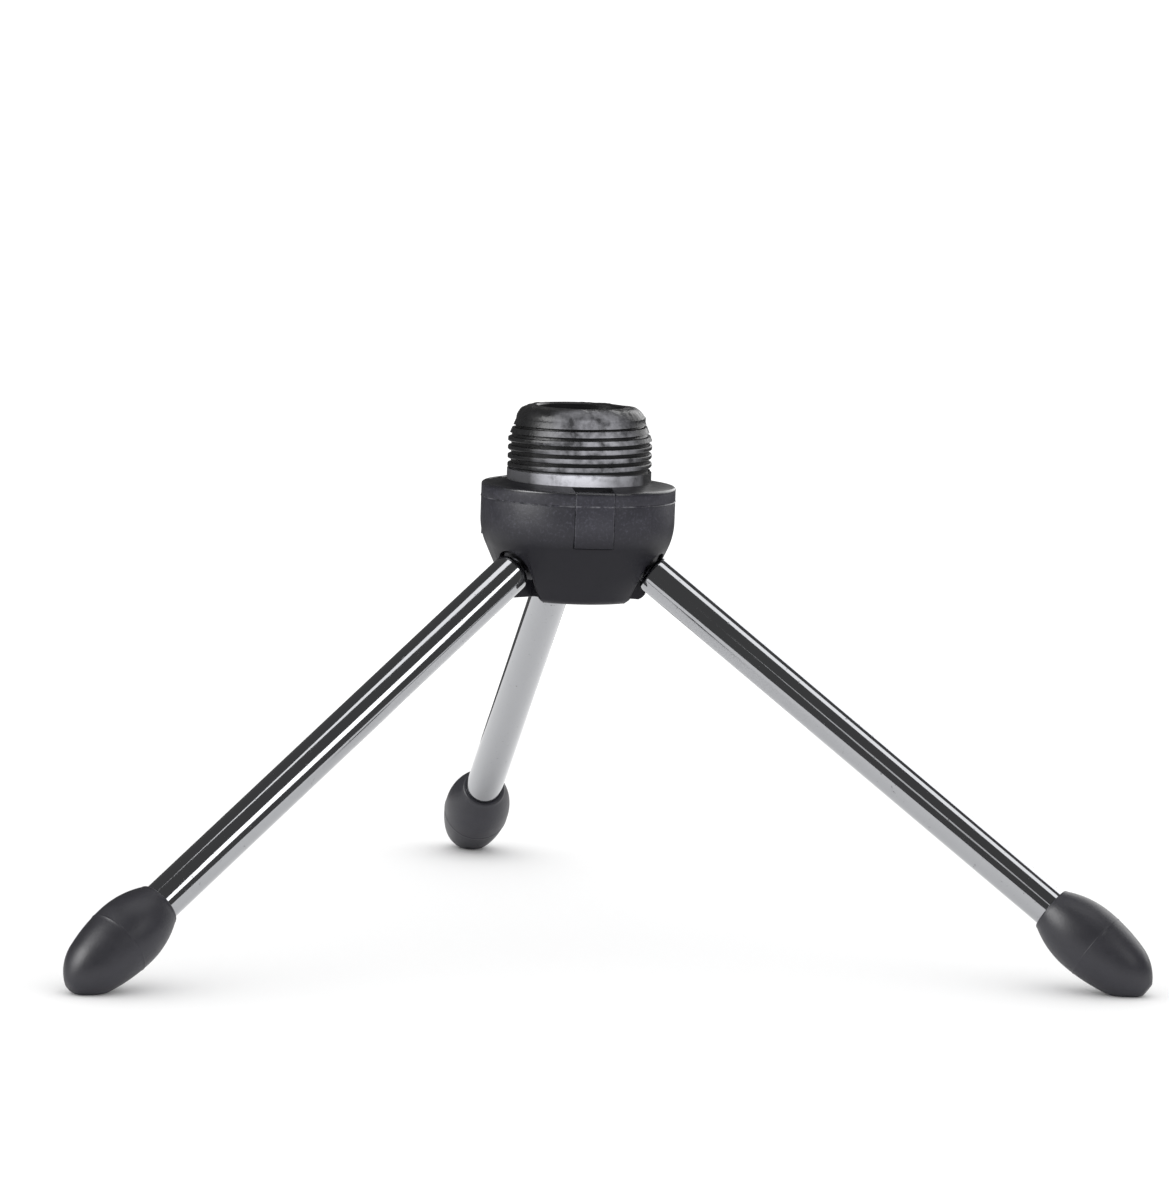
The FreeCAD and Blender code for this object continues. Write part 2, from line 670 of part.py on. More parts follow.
def make_leg_eye(side):
    """The pierced tongue, from round bar, that the hinge pin passes through, with a shank inside the tube."""
    body = new_body(f"leg_eye_{side}")
    start = f"({PIVOT_ON_LEG} + sheet.tube_start)"
    tongue_end = f"({start} - sheet.eye_gap)"
    shank_start = f"({start} + sheet.tube_roll)"
    shank_end = f"({start} + sheet.eye_shank)"
    shank_radius = "(sheet.tube_radius - sheet.tube_wall - sheet.eye_play)"
    eye_low = "0 - sheet.eye_radius"
    inside_tongue = f"{tongue_end} - sheet.eye_overlap"

    shank = new_sketch(body, "XY_Plane", "Shank")
    draw_outline(shank, [
        (inside_tongue, "0"),
        (shank_end, "0"),
        (shank_end, shank_radius),
        (shank_start, shank_radius),
        (shank_start, "sheet.eye_neck"),
        (inside_tongue, "sheet.eye_neck"),
    ])
    turn(body, shank, axis="H_Axis")
    tongue = new_sketch(body, "XZ_Plane", "Tongue")
    draw_outline(tongue, [
        (PIVOT_ON_LEG, "sheet.eye_radius", "sheet.eye_radius", "left"),
        (f"{PIVOT_ON_LEG} - sheet.eye_radius", "0", "sheet.eye_radius", "left"),
        (PIVOT_ON_LEG, eye_low),
        (tongue_end, eye_low),
        (tongue_end, "sheet.eye_radius"),
    ])
    stretch(body, tongue, "Pad", "sheet.eye_width", side="Symmetric")
    behind = f"({PIVOT_ON_LEG} - 2 * sheet.eye_radius)"
    bar = new_sketch(body, "XY_Plane", "RoundBar")
    draw_outline(bar, [
        (behind, "sheet.eye_bar_radius"),
        (tongue_end, "sheet.eye_bar_radius"),
        (tongue_end, "sheet.eye_width"),
        (behind, "sheet.eye_width"),
    ])
    turn(body, bar, axis="H_Axis", kind="Groove")
    hole = new_sketch(body, "XZ_Plane", "PinHole")
    draw_circle(hole, "(sheet.pin_radius + sheet.pin_play)", x_size=PIVOT_ON_LEG)
    stretch(body, hole, "Pocket", "sheet.eye_width + 2 * sheet.cut_margin", side="Symmetric")
    place_on_leg(body, side)


def place_on_pivot(item, side):
    """Turns an item's Z axis along a leg's hinge axis, with its origin in the middle of the hinge."""
    azimuth = math.radians(LEG_AZIMUTHS[side])
    swing = Rotation(Vector(0, 0, 1), LEG_AZIMUTHS[side])
    item.Placement = Placement(Vector(0, 0, 0), swing * Rotation(Vector(1, 0, 0), 90))
    item.setExpression("Placement.Base.x", f"sheet.pivot_radius * {math.cos(azimuth):.12f}")
    item.setExpression("Placement.Base.y", f"sheet.pivot_radius * {math.sin(azimuth):.12f}")
    item.setExpression("Placement.Base.z", f"{HUB_BOTTOM} + {PIVOT_HEIGHT}")


def make_hinge_pin(side):
    body = new_body(f"hinge_pin_{side}")
    bevel = "sheet.pin_bevel"
    half = "(sheet.pin_length / 2)"
    shape = new_sketch(body, "XZ_Plane", "Pin")
    draw_outline(shape, [
        ("0", f"0 - {half}"),
        (f"sheet.pin_radius - {bevel}", f"0 - {half}"),
        ("sheet.pin_radius", f"0 - {half} + {bevel}"),
        ("sheet.pin_radius", f"{half} - {bevel}"),
        (f"sheet.pin_radius - {bevel}", half),
        ("0", half),
    ])
    turn(body, shape)
    place_on_pivot(body, side)


def make_rubber_foot(side):
    """An oval cap pushed over the tube's end, with a small flat where it rests on the desk."""
    body = new_body(f"rubber_foot_{side}")
    mouth = "sheet.foot_mouth"
    belly = f"({mouth} + sheet.foot_belly)"
    shoulder = f"({mouth} + sheet.foot_shoulder)"
    tip = f"({mouth} + sheet.foot_length)"
    rise = "(sheet.foot_radius - sheet.foot_mouth_radius)"
    fall = "(sheet.foot_radius - sheet.foot_shoulder_radius)"
    run = "(sheet.foot_shoulder - sheet.foot_belly)"
    bore = "(sheet.tube_radius + sheet.foot_play)"
    lip = "(sheet.tube_radius + sheet.foot_lip_play)"
    bore_end = "sheet.tube_end + sheet.foot_end_gap"
    outline = new_sketch(body, "XY_Plane", "FootOutline")
    draw_outline(outline, [
        (tip, "0"),
        (tip, "sheet.foot_tip_radius", "sheet.foot_nose", "left"),
        (shoulder, "sheet.foot_shoulder_radius", f"({run} ^ 2 + {fall} ^ 2) / (2 * {fall})", "left"),
        (belly, "sheet.foot_radius", f"(sheet.foot_belly ^ 2 + {rise} ^ 2) / (2 * {rise})", "left"),
        (mouth, "sheet.foot_mouth_radius"),
        (mouth, lip),
        (f"{mouth} + sheet.foot_lip_depth", bore),
        (bore_end, bore),
        (bore_end, "0"),
    ])
    turn(body, outline, axis="H_Axis")
    floor = new_sketch(body, "XZ_Plane", "FloorFlat")
    near = f"({mouth} - sheet.cut_margin)"
    far = f"({tip} + sheet.cut_margin)"
    deep = "0 - 4 * sheet.foot_radius"
    floor_level = "({} * sin(sheet.leg_angle) - sheet.crossing_height) / cos(sheet.leg_angle)"
    draw_outline(floor, [
        (near, deep),
        (far, deep),
        (far, floor_level.format(far)),
        (near, floor_level.format(near)),
    ])
    stretch(body, floor, "Pocket", "4 * sheet.foot_radius", side="Symmetric")
    place_on_leg(body, side)


# ---- build, check and write --------------------------------------------------------------------

def check_document():
    for item in doc.Objects:
        if "Invalid" in item.State or "Error" in item.State:
            raise RuntimeError(f"{item.Name} did not compute: {item.State}")
    for part in sub_parts:
        if part.Shape.isNull() or not part.Shape.isValid():
            raise RuntimeError(f"{part.Label} has no valid shape")
        if len(part.Shape.Solids) != 1:
            raise RuntimeError(f"{part.Label} has {len(part.Shape.Solids)} solids")


make_hub_body()
make_hub_cap()
for side_name in KEEPER_AZIMUTHS:
    make_pin_keeper(side_name)
make_threaded_stud()
make_clamp_screw()
make_clamp_washer()
make_clamp_nut()
for side_name in LEG_AZIMUTHS:
    make_leg_tube(side_name)
    make_leg_eye(side_name)
    make_hinge_pin(side_name)
    make_rubber_foot(side_name)
doc.recompute()
check_document()

os.makedirs("parts", exist_ok=True)
for part in sub_parts:
    part.Shape.exportStep(os.path.join("parts", f"{part.Label}.step"))
    print(f"{part.Label}: {part.Shape.Volume:.2f} mm3")
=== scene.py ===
"""Looks of a folding desktop microphone stand: moulded hub, threaded stud, chromed legs and rubber feet."""
import json
import math

import bpy
from bpy.props import FloatProperty, FloatVectorProperty, IntProperty, PointerProperty
from bpy.types import Operator, Panel, PropertyGroup
from mathutils import Matrix, Vector


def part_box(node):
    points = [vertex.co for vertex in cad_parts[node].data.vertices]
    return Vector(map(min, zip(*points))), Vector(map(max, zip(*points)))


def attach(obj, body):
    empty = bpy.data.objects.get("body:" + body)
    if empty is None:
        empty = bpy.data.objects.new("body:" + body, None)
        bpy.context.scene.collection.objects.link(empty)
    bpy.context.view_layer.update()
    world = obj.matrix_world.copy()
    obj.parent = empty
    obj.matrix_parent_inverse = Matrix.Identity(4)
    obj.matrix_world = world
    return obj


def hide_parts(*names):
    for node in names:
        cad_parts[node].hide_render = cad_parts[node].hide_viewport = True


bl_info = {
    "name": "Desktop microphone stand",
    "version": (1, 0, 0),
    "blender": (4, 5, 0),
    "location": "3D View > Sidebar > Mic stand",
    "description": "Models and finishes a folding three-legged desktop stand around its CAD frame",
    "category": "Object",
}

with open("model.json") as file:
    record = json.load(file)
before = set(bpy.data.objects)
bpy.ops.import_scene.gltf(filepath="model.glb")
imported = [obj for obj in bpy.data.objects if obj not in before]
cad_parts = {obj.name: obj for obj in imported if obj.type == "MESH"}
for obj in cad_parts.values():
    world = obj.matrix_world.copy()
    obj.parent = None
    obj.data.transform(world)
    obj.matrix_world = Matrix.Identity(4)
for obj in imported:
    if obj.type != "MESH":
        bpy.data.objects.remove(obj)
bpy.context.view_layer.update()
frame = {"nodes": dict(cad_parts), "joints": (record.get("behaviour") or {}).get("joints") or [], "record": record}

MM = 0.001
MERGE = 0.001 * MM
LEGS = {"left": 210, "right": 330, "rear": 90}
KEEPERS = {"front": 270, "right": 30, "left": 150}

joint_of_leg = {joint["child"]: joint for joint in frame["joints"]}
neck_mount = next(mount for mount in frame["record"]["mounts"] if mount["name"] == "thread_stud")


# ---- sizes and colours -------------------------------------------------------------------------

def length(name, description, default):
    """A size in metres."""
    return FloatProperty(name=name, description=description, default=default, min=0, precision=5, unit="LENGTH")


def colour(name, description, default):
    return FloatVectorProperty(name=name, description=description, default=default, size=3, min=0, max=1,
                               subtype="COLOR")


class HubSizes(PropertyGroup):
    """Sizes of the moulded hub. Heights are counted from its underside."""
    radius: length("Radius", "Radius of the hub's wall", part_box("hub_cap")[1].x)
    bottom: length("Underside", "Height of the hub's underside above the desk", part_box("hub_body")[0].z)
    parting: length("Parting line", "Height where the cap meets the body, above the desk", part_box("hub_cap")[0].z)
    wall_foot: length("Wall foot", "Height where the upright wall starts to round in", 8.7 * MM)
    knee: length("Knee rounding", "Radius of the rounding between wall and petals", 7.2 * MM)
    petal_angle: FloatProperty(name="Petal angle", description="Lean of the petals from upright",
                               default=math.radians(24.5), subtype="ANGLE")
    bottom_rounding: length("Bottom rounding", "Radius round the underside", 1.0 * MM)
    edge: length("Edge rounding", "Rounding of cut edges", 0.12 * MM)
    seam: length("Seam", "Bevel on each side of the parting line", 0.03 * MM)
    screw_hole: length("Screw hole", "Radius of the centre hole", 1.65 * MM)
    head_recess: length("Head recess", "Radius of the recess for the screw head", 3.5 * MM)
    head_recess_depth: length("Head recess depth", "Depth of the recess for the screw head", 2.85 * MM)
    slot_width: length("Slot width", "Width of a leg's slot", 4.8 * MM)
    slot_inner: length("Slot start", "Distance of a slot's inner end from the axis", 4.25 * MM)
    slot_outer: length("Slot wall", "Distance of the wall that closes a slot above the leg", 8.6 * MM)
    arch_drop: length("Arch drop", "How far the centre of a slot's arch lies below the leg's line", 0.12 * MM)
    tab_width: length("Tab width", "Width of a keeper's tab", 4.25 * MM)
    tab_height: length("Tab height", "Length of a keeper's tab below the rim", 6.0 * MM)
    tab_gap: length("Tab gap", "Gap round a tab", 0.03 * MM)
    lip: length("Lip", "Thickness of a tab's upright lip", 0.6 * MM)
    pocket_inner: length("Pocket start", "Distance of the pocket's back wall from the axis", 7.9 * MM)
    cap_edge: length("Cap edge", "Height of the cap's upright edge", 1.2 * MM)
    cap_slope: FloatProperty(name="Cap slope", description="Slope of the cap's cone", default=math.radians(10),
                             subtype="ANGLE")
    rim: length("Rim rounding", "Radius of the cap's rim", 0.3 * MM)
    land: length("Land", "Radius of the flat under the stud", 8.2 * MM)
    seat: length("Seat", "Radius of the seat for the stud", 7.65 * MM)
    seat_depth: length("Seat depth", "Depth of the seat for the stud", 1.05 * MM)


class StudSizes(PropertyGroup):
    """Sizes of the threaded stud."""
    radius: length("Crest radius", "Radius over the thread", neck_mount["dims"]["r_mm"] * MM)
    root: length("Root radius", "Radius at the bottom of the thread", 7.5 * MM)
    pitch: length("Pitch", "Height of one turn, 27 to the inch", 25.4 / 27 * MM)
    turns: IntProperty(name="Turns", description="Turns of thread", default=6, min=1)
    crest: length("Crest width", "Width of the flat on the thread's crest", 0.46 * MM)
    crest_rounding: length("Crest rounding", "How far the crest's corners are rounded back", 0.10 * MM)
    tooth_foot: length("Tooth foot", "Width of a tooth deep inside the barrel", 0.88 * MM)
    tooth_start: length("Tooth start", "Radius where a tooth starts inside the barrel", 6.6 * MM)
    groove: length("Groove", "Depth of the thread where the cone trims it", 0.30 * MM)
    neck: length("Neck", "Height of the plain neck", neck_mount["dims"]["length_mm"] * MM)
    threaded: length("Threaded height", "Height of the threaded stretch", 5.45 * MM)
    pilot: length("Pilot radius", "Radius of the plain end", 7.05 * MM)
    pilot_rounding: length("Pilot rounding", "Radius round the plain end", 1.5 * MM)
    lead_in: FloatProperty(name="Lead-in", description="Lean of the cone that trims the thread, from upright",
                           default=math.radians(22), subtype="ANGLE")
    bore: length("Bore", "Radius of the hollow", 4.7 * MM)
    floor: length("Floor", "Thickness of the floor under the hollow", 1.2 * MM)
    scar: length("Scars", "Depth of the mould scars round the top", 0.34 * MM)


class LegSizes(PropertyGroup):
    """Sizes of a leg. Distances run along the leg, from where its line crosses the hub's axis."""
    angle: FloatProperty(name="Leg angle", description="Slope of an open leg below level",
                         default=math.radians(35.3), subtype="ANGLE")
    crossing: length("Crossing", "Height where the legs' lines meet on the hub's axis", 47.6 * MM)
    radius: length("Tube radius", "Outer radius of the tube", 2.125 * MM)
    wall: length("Tube wall", "Thickness of the tube", 0.5 * MM)
    roll: length("Rolled end", "Radius of the tube's rolled end", 0.85 * MM)
    start: length("Tube start", "Distance of the tube from the hinge", 2.5 * MM)
    end: length("Tube end", "Distance of the tube's far end", 76.5 * MM)
    eye_width: length("Eye width", "Thickness of the pierced tongue", 4.0 * MM)
    eye_radius: length("Eye radius", "Radius of the tongue's round end", 1.85 * MM)
    eye_bar: length("Eye bar", "Radius of the round bar the tongue is made from", 2.1 * MM)
    eye_neck: length("Eye neck", "Radius of the neck between tongue and tube", 1.1 * MM)
    eye_gap: length("Eye gap", "Gap between tongue and tube", 0.4 * MM)
    pin_hole: length("Pin hole", "Radius of the hole for the hinge pin", 0.83 * MM)


class FootSizes(PropertyGroup):
    """Sizes of a rubber foot. Distances run along the leg from the foot's mouth."""
    mouth: length("Mouth", "Distance of the mouth along the leg", 67.5 * MM)
    mouth_radius: length("Mouth radius", "Radius of the mouth's rim", 2.55 * MM)
    mouth_rounding: length("Mouth rounding", "Radius of the mouth's rim in section", 0.3 * MM)
    belly: length("Belly", "Distance of the widest place", 5.2 * MM)
    belly_radius: length("Belly radius", "Radius at the widest place", 3.8 * MM)
    shoulder: length("Shoulder", "Distance of the place where the nose starts", 10.2 * MM)
    shoulder_radius: length("Shoulder radius", "Radius where the nose starts", 3.18 * MM)
    total: length("Length", "Length of the foot", 13.5 * MM)
    tip: length("Tip", "Radius of the flat at the tip", 0.8 * MM)
    nose: length("Nose", "Radius of the nose in section", 5.5 * MM)
    seam: length("Seam", "Distance of the mould's parting line", 6.3 * MM)
    seam_height: length("Seam height", "How far the parting line stands proud", 0.045 * MM)


class StandColours(PropertyGroup):
    """Colours of the finishes."""
    hub: colour("Hub", "Moulded plastic of the hub", (0.0205, 0.020, 0.027))
    # Also the colour of the painted highlights on the stud's crests, plain end and neck.
    stress_and_sheen: colour("Stress marks", "Whitened plastic along seams", (0.24, 0.24, 0.26))
    stud: colour("Stud", "Moulded plastic of the stud", (0.014, 0.014, 0.015))
    chrome: colour("Chrome", "Chromed tube", (0.41, 0.415, 0.43))
    steel: colour("Steel", "Plated steel", (0.62, 0.63, 0.66))
    # The eyes' dark colour is painted shade, for the shade inside their slots.
    eye_shade: colour("Dark oxide", "Blackened steel of the eyes", (0.05, 0.05, 0.055))
    rubber: colour("Rubber", "Moulded rubber", (0.021, 0.0205, 0.028))
    ground: colour("Floor", "Plain floor", (0.93, 0.93, 0.93))


class StageSizes(PropertyGroup):
    """Camera and light."""
    azimuth: FloatProperty(name="Azimuth", description="Camera's turn about the stand",
                           default=math.radians(-10.55), subtype="ANGLE")
    elevation: FloatProperty(name="Elevation", description="Camera's height above level",
                             default=math.radians(6.64), subtype="ANGLE")
    roll: FloatProperty(name="Roll", description="Camera's roll", default=math.radians(2.06), subtype="ANGLE")
    distance: length("Distance", "Camera's distance from the rim", 0.6383)
    lens: FloatProperty(name="Lens", description="Focal length", default=175.7, unit="CAMERA")
    aim_right: length("Aim right", "How far the picture's centre lies to the right of the rim", 0.00063)
    aim_down: length("Aim down", "How far the picture's centre lies below the rim", 0.01269)


# ---- modelling helpers -------------------------------------------------------------------------

def pick(piece):
    """Makes piece the only selected and active object, in object mode."""
    active = bpy.context.view_layer.objects.active
    if active and active.mode != "OBJECT":
        bpy.ops.object.mode_set(mode="OBJECT")
    bpy.ops.object.select_all(action="DESELECT")
    bpy.context.view_layer.objects.active = piece
    if piece:
        piece.select_set(True)


def settle(piece):
    """Moves the object's place into its mesh."""
    pick(piece)
    bpy.ops.object.transform_apply(location=True, rotation=True, scale=True)


def arc(centre, radius, start, end, steps):
    """Points along an arc, as (radius, height) pairs. Angles are in degrees from outwards, turning up."""
    angles = [math.radians(start + (end - start) * step / steps) for step in range(steps + 1)]
    return [(centre[0] + radius * math.cos(angle), centre[1] + radius * math.sin(angle)) for angle in angles]


def bulge(start, end, radius, steps):
    """Points of a gently outward arc between two (radius, height) points, without the first."""
    first = Vector(start)
    last = Vector(end)
    chord = last - first
    inward = Vector((-chord.y, chord.x)).normalized()
    centre = (first + last) / 2 + inward * math.sqrt(radius ** 2 - (chord.length / 2) ** 2)
    begin = math.atan2(first.y - centre.y, first.x - centre.x)
    turn = 2 * math.asin(chord.length / 2 / radius)
    angles = [begin + turn * step / steps for step in range(1, steps + 1)]
    return [(centre.x + radius * math.cos(angle), centre.y + radius * math.sin(angle)) for angle in angles]


def turned(name, outline, sides=160, ring=False):
    """Pulls a circle through (radius, height) points. A ring closes on its first point; others are capped."""
    radius, height = outline[0]
    pick(None)
    bpy.ops.mesh.primitive_circle_add(vertices=sides, radius=radius, location=(0, 0, height),
                                      fill_type="NOTHING" if ring else "NGON")
    piece = bpy.context.object
    piece.name = name
    settle(piece)
    bpy.ops.object.mode_set(mode="EDIT")
    for next_radius, next_height in outline[1:] + (outline[:1] if ring else []):
        rise = {"value": (0, 0, next_height - height), "orient_type": "GLOBAL"}
        bpy.ops.mesh.extrude_region_move(TRANSFORM_OT_translate=rise)
        growth = next_radius / radius
        bpy.ops.transform.resize(value=(growth, growth, 1), center_override=(0, 0, next_height))
        radius, height = next_radius, next_height
    clean_up()
    return piece


def clean_up():
    """Merges doubled points, turns faces outwards and leaves edit mode."""
    bpy.ops.mesh.select_all(action="SELECT")
    bpy.ops.mesh.remove_doubles(threshold=MERGE)
    bpy.ops.mesh.normals_make_consistent(inside=False)
    bpy.ops.object.mode_set(mode="OBJECT")


def block(low, high):
    """A box between two corners."""
    low = Vector(low)
    high = Vector(high)
    pick(None)
    bpy.ops.mesh.primitive_cube_add(size=1, location=(low + high) / 2, scale=high - low)
    settle(bpy.context.object)
    return bpy.context.object


def rod(radius, low, high, sides=64):
    """A cylinder about Z from one height to another."""
    pick(None)
    bpy.ops.mesh.primitive_cylinder_add(vertices=sides, radius=radius, depth=high - low,
                                        location=(0, 0, (low + high) / 2))
    settle(bpy.context.object)
    return bpy.context.object


def swing(piece, azimuth):
    """Turns a piece about the hub's axis, in its mesh."""
    piece.rotation_euler = (0, 0, math.radians(azimuth))
    settle(piece)
    return piece


def combine(piece, tool, operation="DIFFERENCE"):
    """Cuts, joins or crosses piece with tool, and uses the tool up."""
    modifier = piece.modifiers.new("combine", "BOOLEAN")
    modifier.operation = operation
    modifier.solver = "EXACT"
    modifier.object = tool
    pick(piece)
    bpy.ops.object.modifier_apply(modifier=modifier.name)
    bpy.data.objects.remove(tool)


def three_cuts(piece, make_tool, azimuths):
    """Cuts the same shape at each azimuth."""
    for azimuth in azimuths:
        combine(piece, swing(make_tool(), azimuth))


def round_edges(piece, width, segments=2, angle=30):
    """Rounds every sharp edge, then smooths the shading."""
    pick(piece)
    bpy.ops.object.mode_set(mode="EDIT")
    bpy.ops.mesh.select_all(action="SELECT")
    bpy.ops.mesh.remove_doubles(threshold=MERGE)
    bpy.ops.object.mode_set(mode="OBJECT")
    bevel = piece.modifiers.new("round", "BEVEL")
    bevel.width = width
    bevel.segments = segments
    bevel.limit_method = "ANGLE"
    bevel.angle_limit = math.radians(angle)
    bevel.use_clamp_overlap = False
    bpy.ops.object.modifier_apply(modifier=bevel.name)
    smooth(piece)


def smooth(piece, angle=32):
    pick(piece)
    bpy.ops.object.shade_smooth_by_angle(angle=math.radians(angle))


def copy_of(piece, name):
    """A copy with a mesh of its own."""
    pick(piece)
    bpy.ops.object.duplicate(linked=False)
    twin = bpy.context.object
    twin.name = name
    return twin


def lay_on_leg(piece, azimuth, sizes):
    """Turns a piece's Z axis along a leg, with its origin where the legs' lines cross."""
    around = math.radians(azimuth)
    hinge = Vector((-math.sin(around), math.cos(around), 0))
    outward = Vector((math.cos(around), math.sin(around), 0))
    along = outward * math.cos(sizes.angle) - Vector((0, 0, 1)) * math.sin(sizes.angle)
    turned_axes = Matrix((hinge.cross(along), hinge, along)).transposed().to_4x4()
    piece.matrix_world = Matrix.Translation((0, 0, sizes.crossing)) @ turned_axes
    settle(piece)


def hand_over(piece, body, material, slot, *nodes):
    """Finishes a piece: its material, its body and the CAD nodes that it stands for."""
    piece.data.materials.clear()
    piece.data.materials.append(material)
    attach(piece, body)
    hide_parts(*nodes)


def hinge_distance(sizes):
    """Distance of a leg's hinge from where the legs' lines cross."""
    place = joint_of_leg["leg_rear"]["pos_m"]
    return math.hypot(place[0], place[1]) / math.cos(sizes.angle)


# ---- materials -----------------------------------------------------------------------------------

def add_node(tree, kind, inputs=None, **settings):
    """Adds a node; an input is a value or a socket to link."""
    node = tree.nodes.new(kind)
    for name, value in settings.items():
        setattr(node, name, value)
    for name, value in (inputs or {}).items():
        if isinstance(value, bpy.types.NodeSocket):
            tree.links.new(value, node.inputs[name])
        else:
            node.inputs[name].default_value = value
    return node


def new_material(name, metallic, specular=0.5):
    """A material with its node tree, its Principled shader and its Object coordinates."""
    material = bpy.data.materials.new(name)
    material.use_nodes = True
    tree = material.node_tree
    shader = tree.nodes["Principled BSDF"]
    shader.inputs["Metallic"].default_value = metallic
    shader.inputs["Specular IOR Level"].default_value = specular
    place = add_node(tree, "ShaderNodeTexCoord").outputs["Object"]
    return material, tree, shader, place


def noise(tree, place, grain, detail=2.0, roughness=0.5):
    """Noise whose blotches are about one grain across, in metres."""
    node = add_node(tree, "ShaderNodeTexNoise",
                    {"Vector": place, "Scale": 1 / grain, "Detail": detail, "Roughness": roughness})
    return node.outputs["Fac"]


def stretch(tree, value, low, high, new_low=0.0, new_high=1.0):
    """Maps a stretch of a value onto another, held at its ends."""
    node = add_node(tree, "ShaderNodeMapRange", {"Value": value, "From Min": low, "From Max": high,
                                                 "To Min": new_low, "To Max": new_high})
    return node.outputs["Result"]


def calculate(tree, operation, first, second):
    node = add_node(tree, "ShaderNodeMath", operation=operation)
    for socket, value in zip(node.inputs, (first, second)):
        if isinstance(value, bpy.types.NodeSocket):
            tree.links.new(value, socket)
        else:
            socket.default_value = value
    return node.outputs[0]


def blend_colours(tree, amount, first, second):
    """Mixes two colours by an amount; each is a tuple or a socket."""
    node = add_node(tree, "ShaderNodeMix", data_type="RGBA")
    tree.links.new(amount, node.inputs["Factor"])
    for socket, value in ((node.inputs[6], first), (node.inputs[7], second)):
        if isinstance(value, bpy.types.NodeSocket):
            tree.links.new(value, socket)
        else:
            socket.default_value = (*value, 1)
    return node.outputs[2]


def bump(tree, shader, height, depth, strength=1.0):
    node = add_node(tree, "ShaderNodeBump", {"Height": height, "Distance": depth, "Strength": strength})
    tree.links.new(node.outputs["Normal"], shader.inputs["Normal"])


def height_of(tree, place):
    return add_node(tree, "ShaderNodeSeparateXYZ", {"Vector": place}).outputs["Z"]


def near(tree, value, level, reach):
    """1 at a level, falling to 0 at reach on both sides."""
    away = calculate(tree, "ABSOLUTE", calculate(tree, "SUBTRACT", value, level), 0.0)
    return stretch(tree, away, reach, 0.0)


def scaled(shade, factor):
    return tuple(min(part * factor, 1.0) for part in shade)


def away_from_tab(tree, place):
    """Angle in radians between a point and the middle of the nearest tab, seen from the hub's axis."""
    parts = add_node(tree, "ShaderNodeSeparateXYZ", {"Vector": place})
    angle = calculate(tree, "ARCTAN2", parts.outputs["Y"], parts.outputs["X"])
    from_tab = calculate(tree, "SUBTRACT", angle, math.radians(KEEPERS["right"]))
    return calculate(tree, "PINGPONG", from_tab, math.radians(60))


def hub_plastic(name, colours, sizes, painted_lightness=1.0):
    """Spark-textured charcoal plastic: grainy wall, smoother petals and top, which are painted darker as painted shade,
    whitened marks along the seams.
    """
    material, tree, shader, place = new_material(name, metallic=0.0)
    height = height_of(tree, place)
    rim = sizes.parting + sizes.cap_edge + sizes.rim
    low = sizes.bottom + 0.72 * sizes.wall_foot
    above_petals = stretch(tree, height, low, low + 2.5 * MM)
    below_rim = stretch(tree, height, rim - 0.1 * MM, rim - 0.5 * MM)
    on_wall = calculate(tree, "MULTIPLY", above_petals, below_rim)
    fine = noise(tree, place, 0.30 * MM, detail=3.0, roughness=0.7)
    clouds = noise(tree, place, 2.4 * MM, detail=4.0)
    # Lightness above 1 makes a lit copy of this plastic: painted light.
    wall = blend_colours(tree, clouds, scaled(colours.hub, 1.0 * painted_lightness), scaled(colours.hub, 1.7 * painted_lightness))
    # Off the wall, petals and top take 0.62 of the hub's colour: painted shade.
    shade = blend_colours(tree, on_wall, scaled(colours.hub, 0.62), wall)
    specks = calculate(tree, "MULTIPLY", stretch(tree, fine, 0.52, 0.72), on_wall)
    shade = blend_colours(tree, calculate(tree, "MULTIPLY", specks, 0.55), shade, scaled(colours.hub, 4.0))
    patches = stretch(tree, noise(tree, place, 1.1 * MM, detail=5.0, roughness=0.7), 0.44, 0.62)
    seam = near(tree, height, sizes.parting, 0.11 * MM)
    tab_edge = near(tree, away_from_tab(tree, place), math.asin(sizes.tab_width / 2 / sizes.radius), math.radians(0.7))
    beside_tab = calculate(tree, "MULTIPLY", tab_edge, on_wall)
    lines = calculate(tree, "MAXIMUM", seam, calculate(tree, "MULTIPLY", beside_tab, 0.6))
    marks = calculate(tree, "MULTIPLY", lines, calculate(tree, "MULTIPLY", patches, 0.8))
    shade = blend_colours(tree, marks, shade, tuple(colours.stress_and_sheen))
    tree.links.new(shade, shader.inputs["Base Color"])
    edge = near(tree, height, rim - 0.12 * MM, 0.24 * MM)
    gloss = calculate(tree, "MAXIMUM", stretch(tree, on_wall, 0.0, 1.0, 0.22, 0.50), edge)
    tree.links.new(gloss, shader.inputs["Specular IOR Level"])
    satin = stretch(tree, clouds, 0.3, 0.7, 0.36, 0.48)
    tree.links.new(calculate(tree, "SUBTRACT", satin, calculate(tree, "MULTIPLY", edge, 0.20)),
                   shader.inputs["Roughness"])
    bump(tree, shader, calculate(tree, "MULTIPLY", fine, on_wall), 0.016 * MM)
    return material


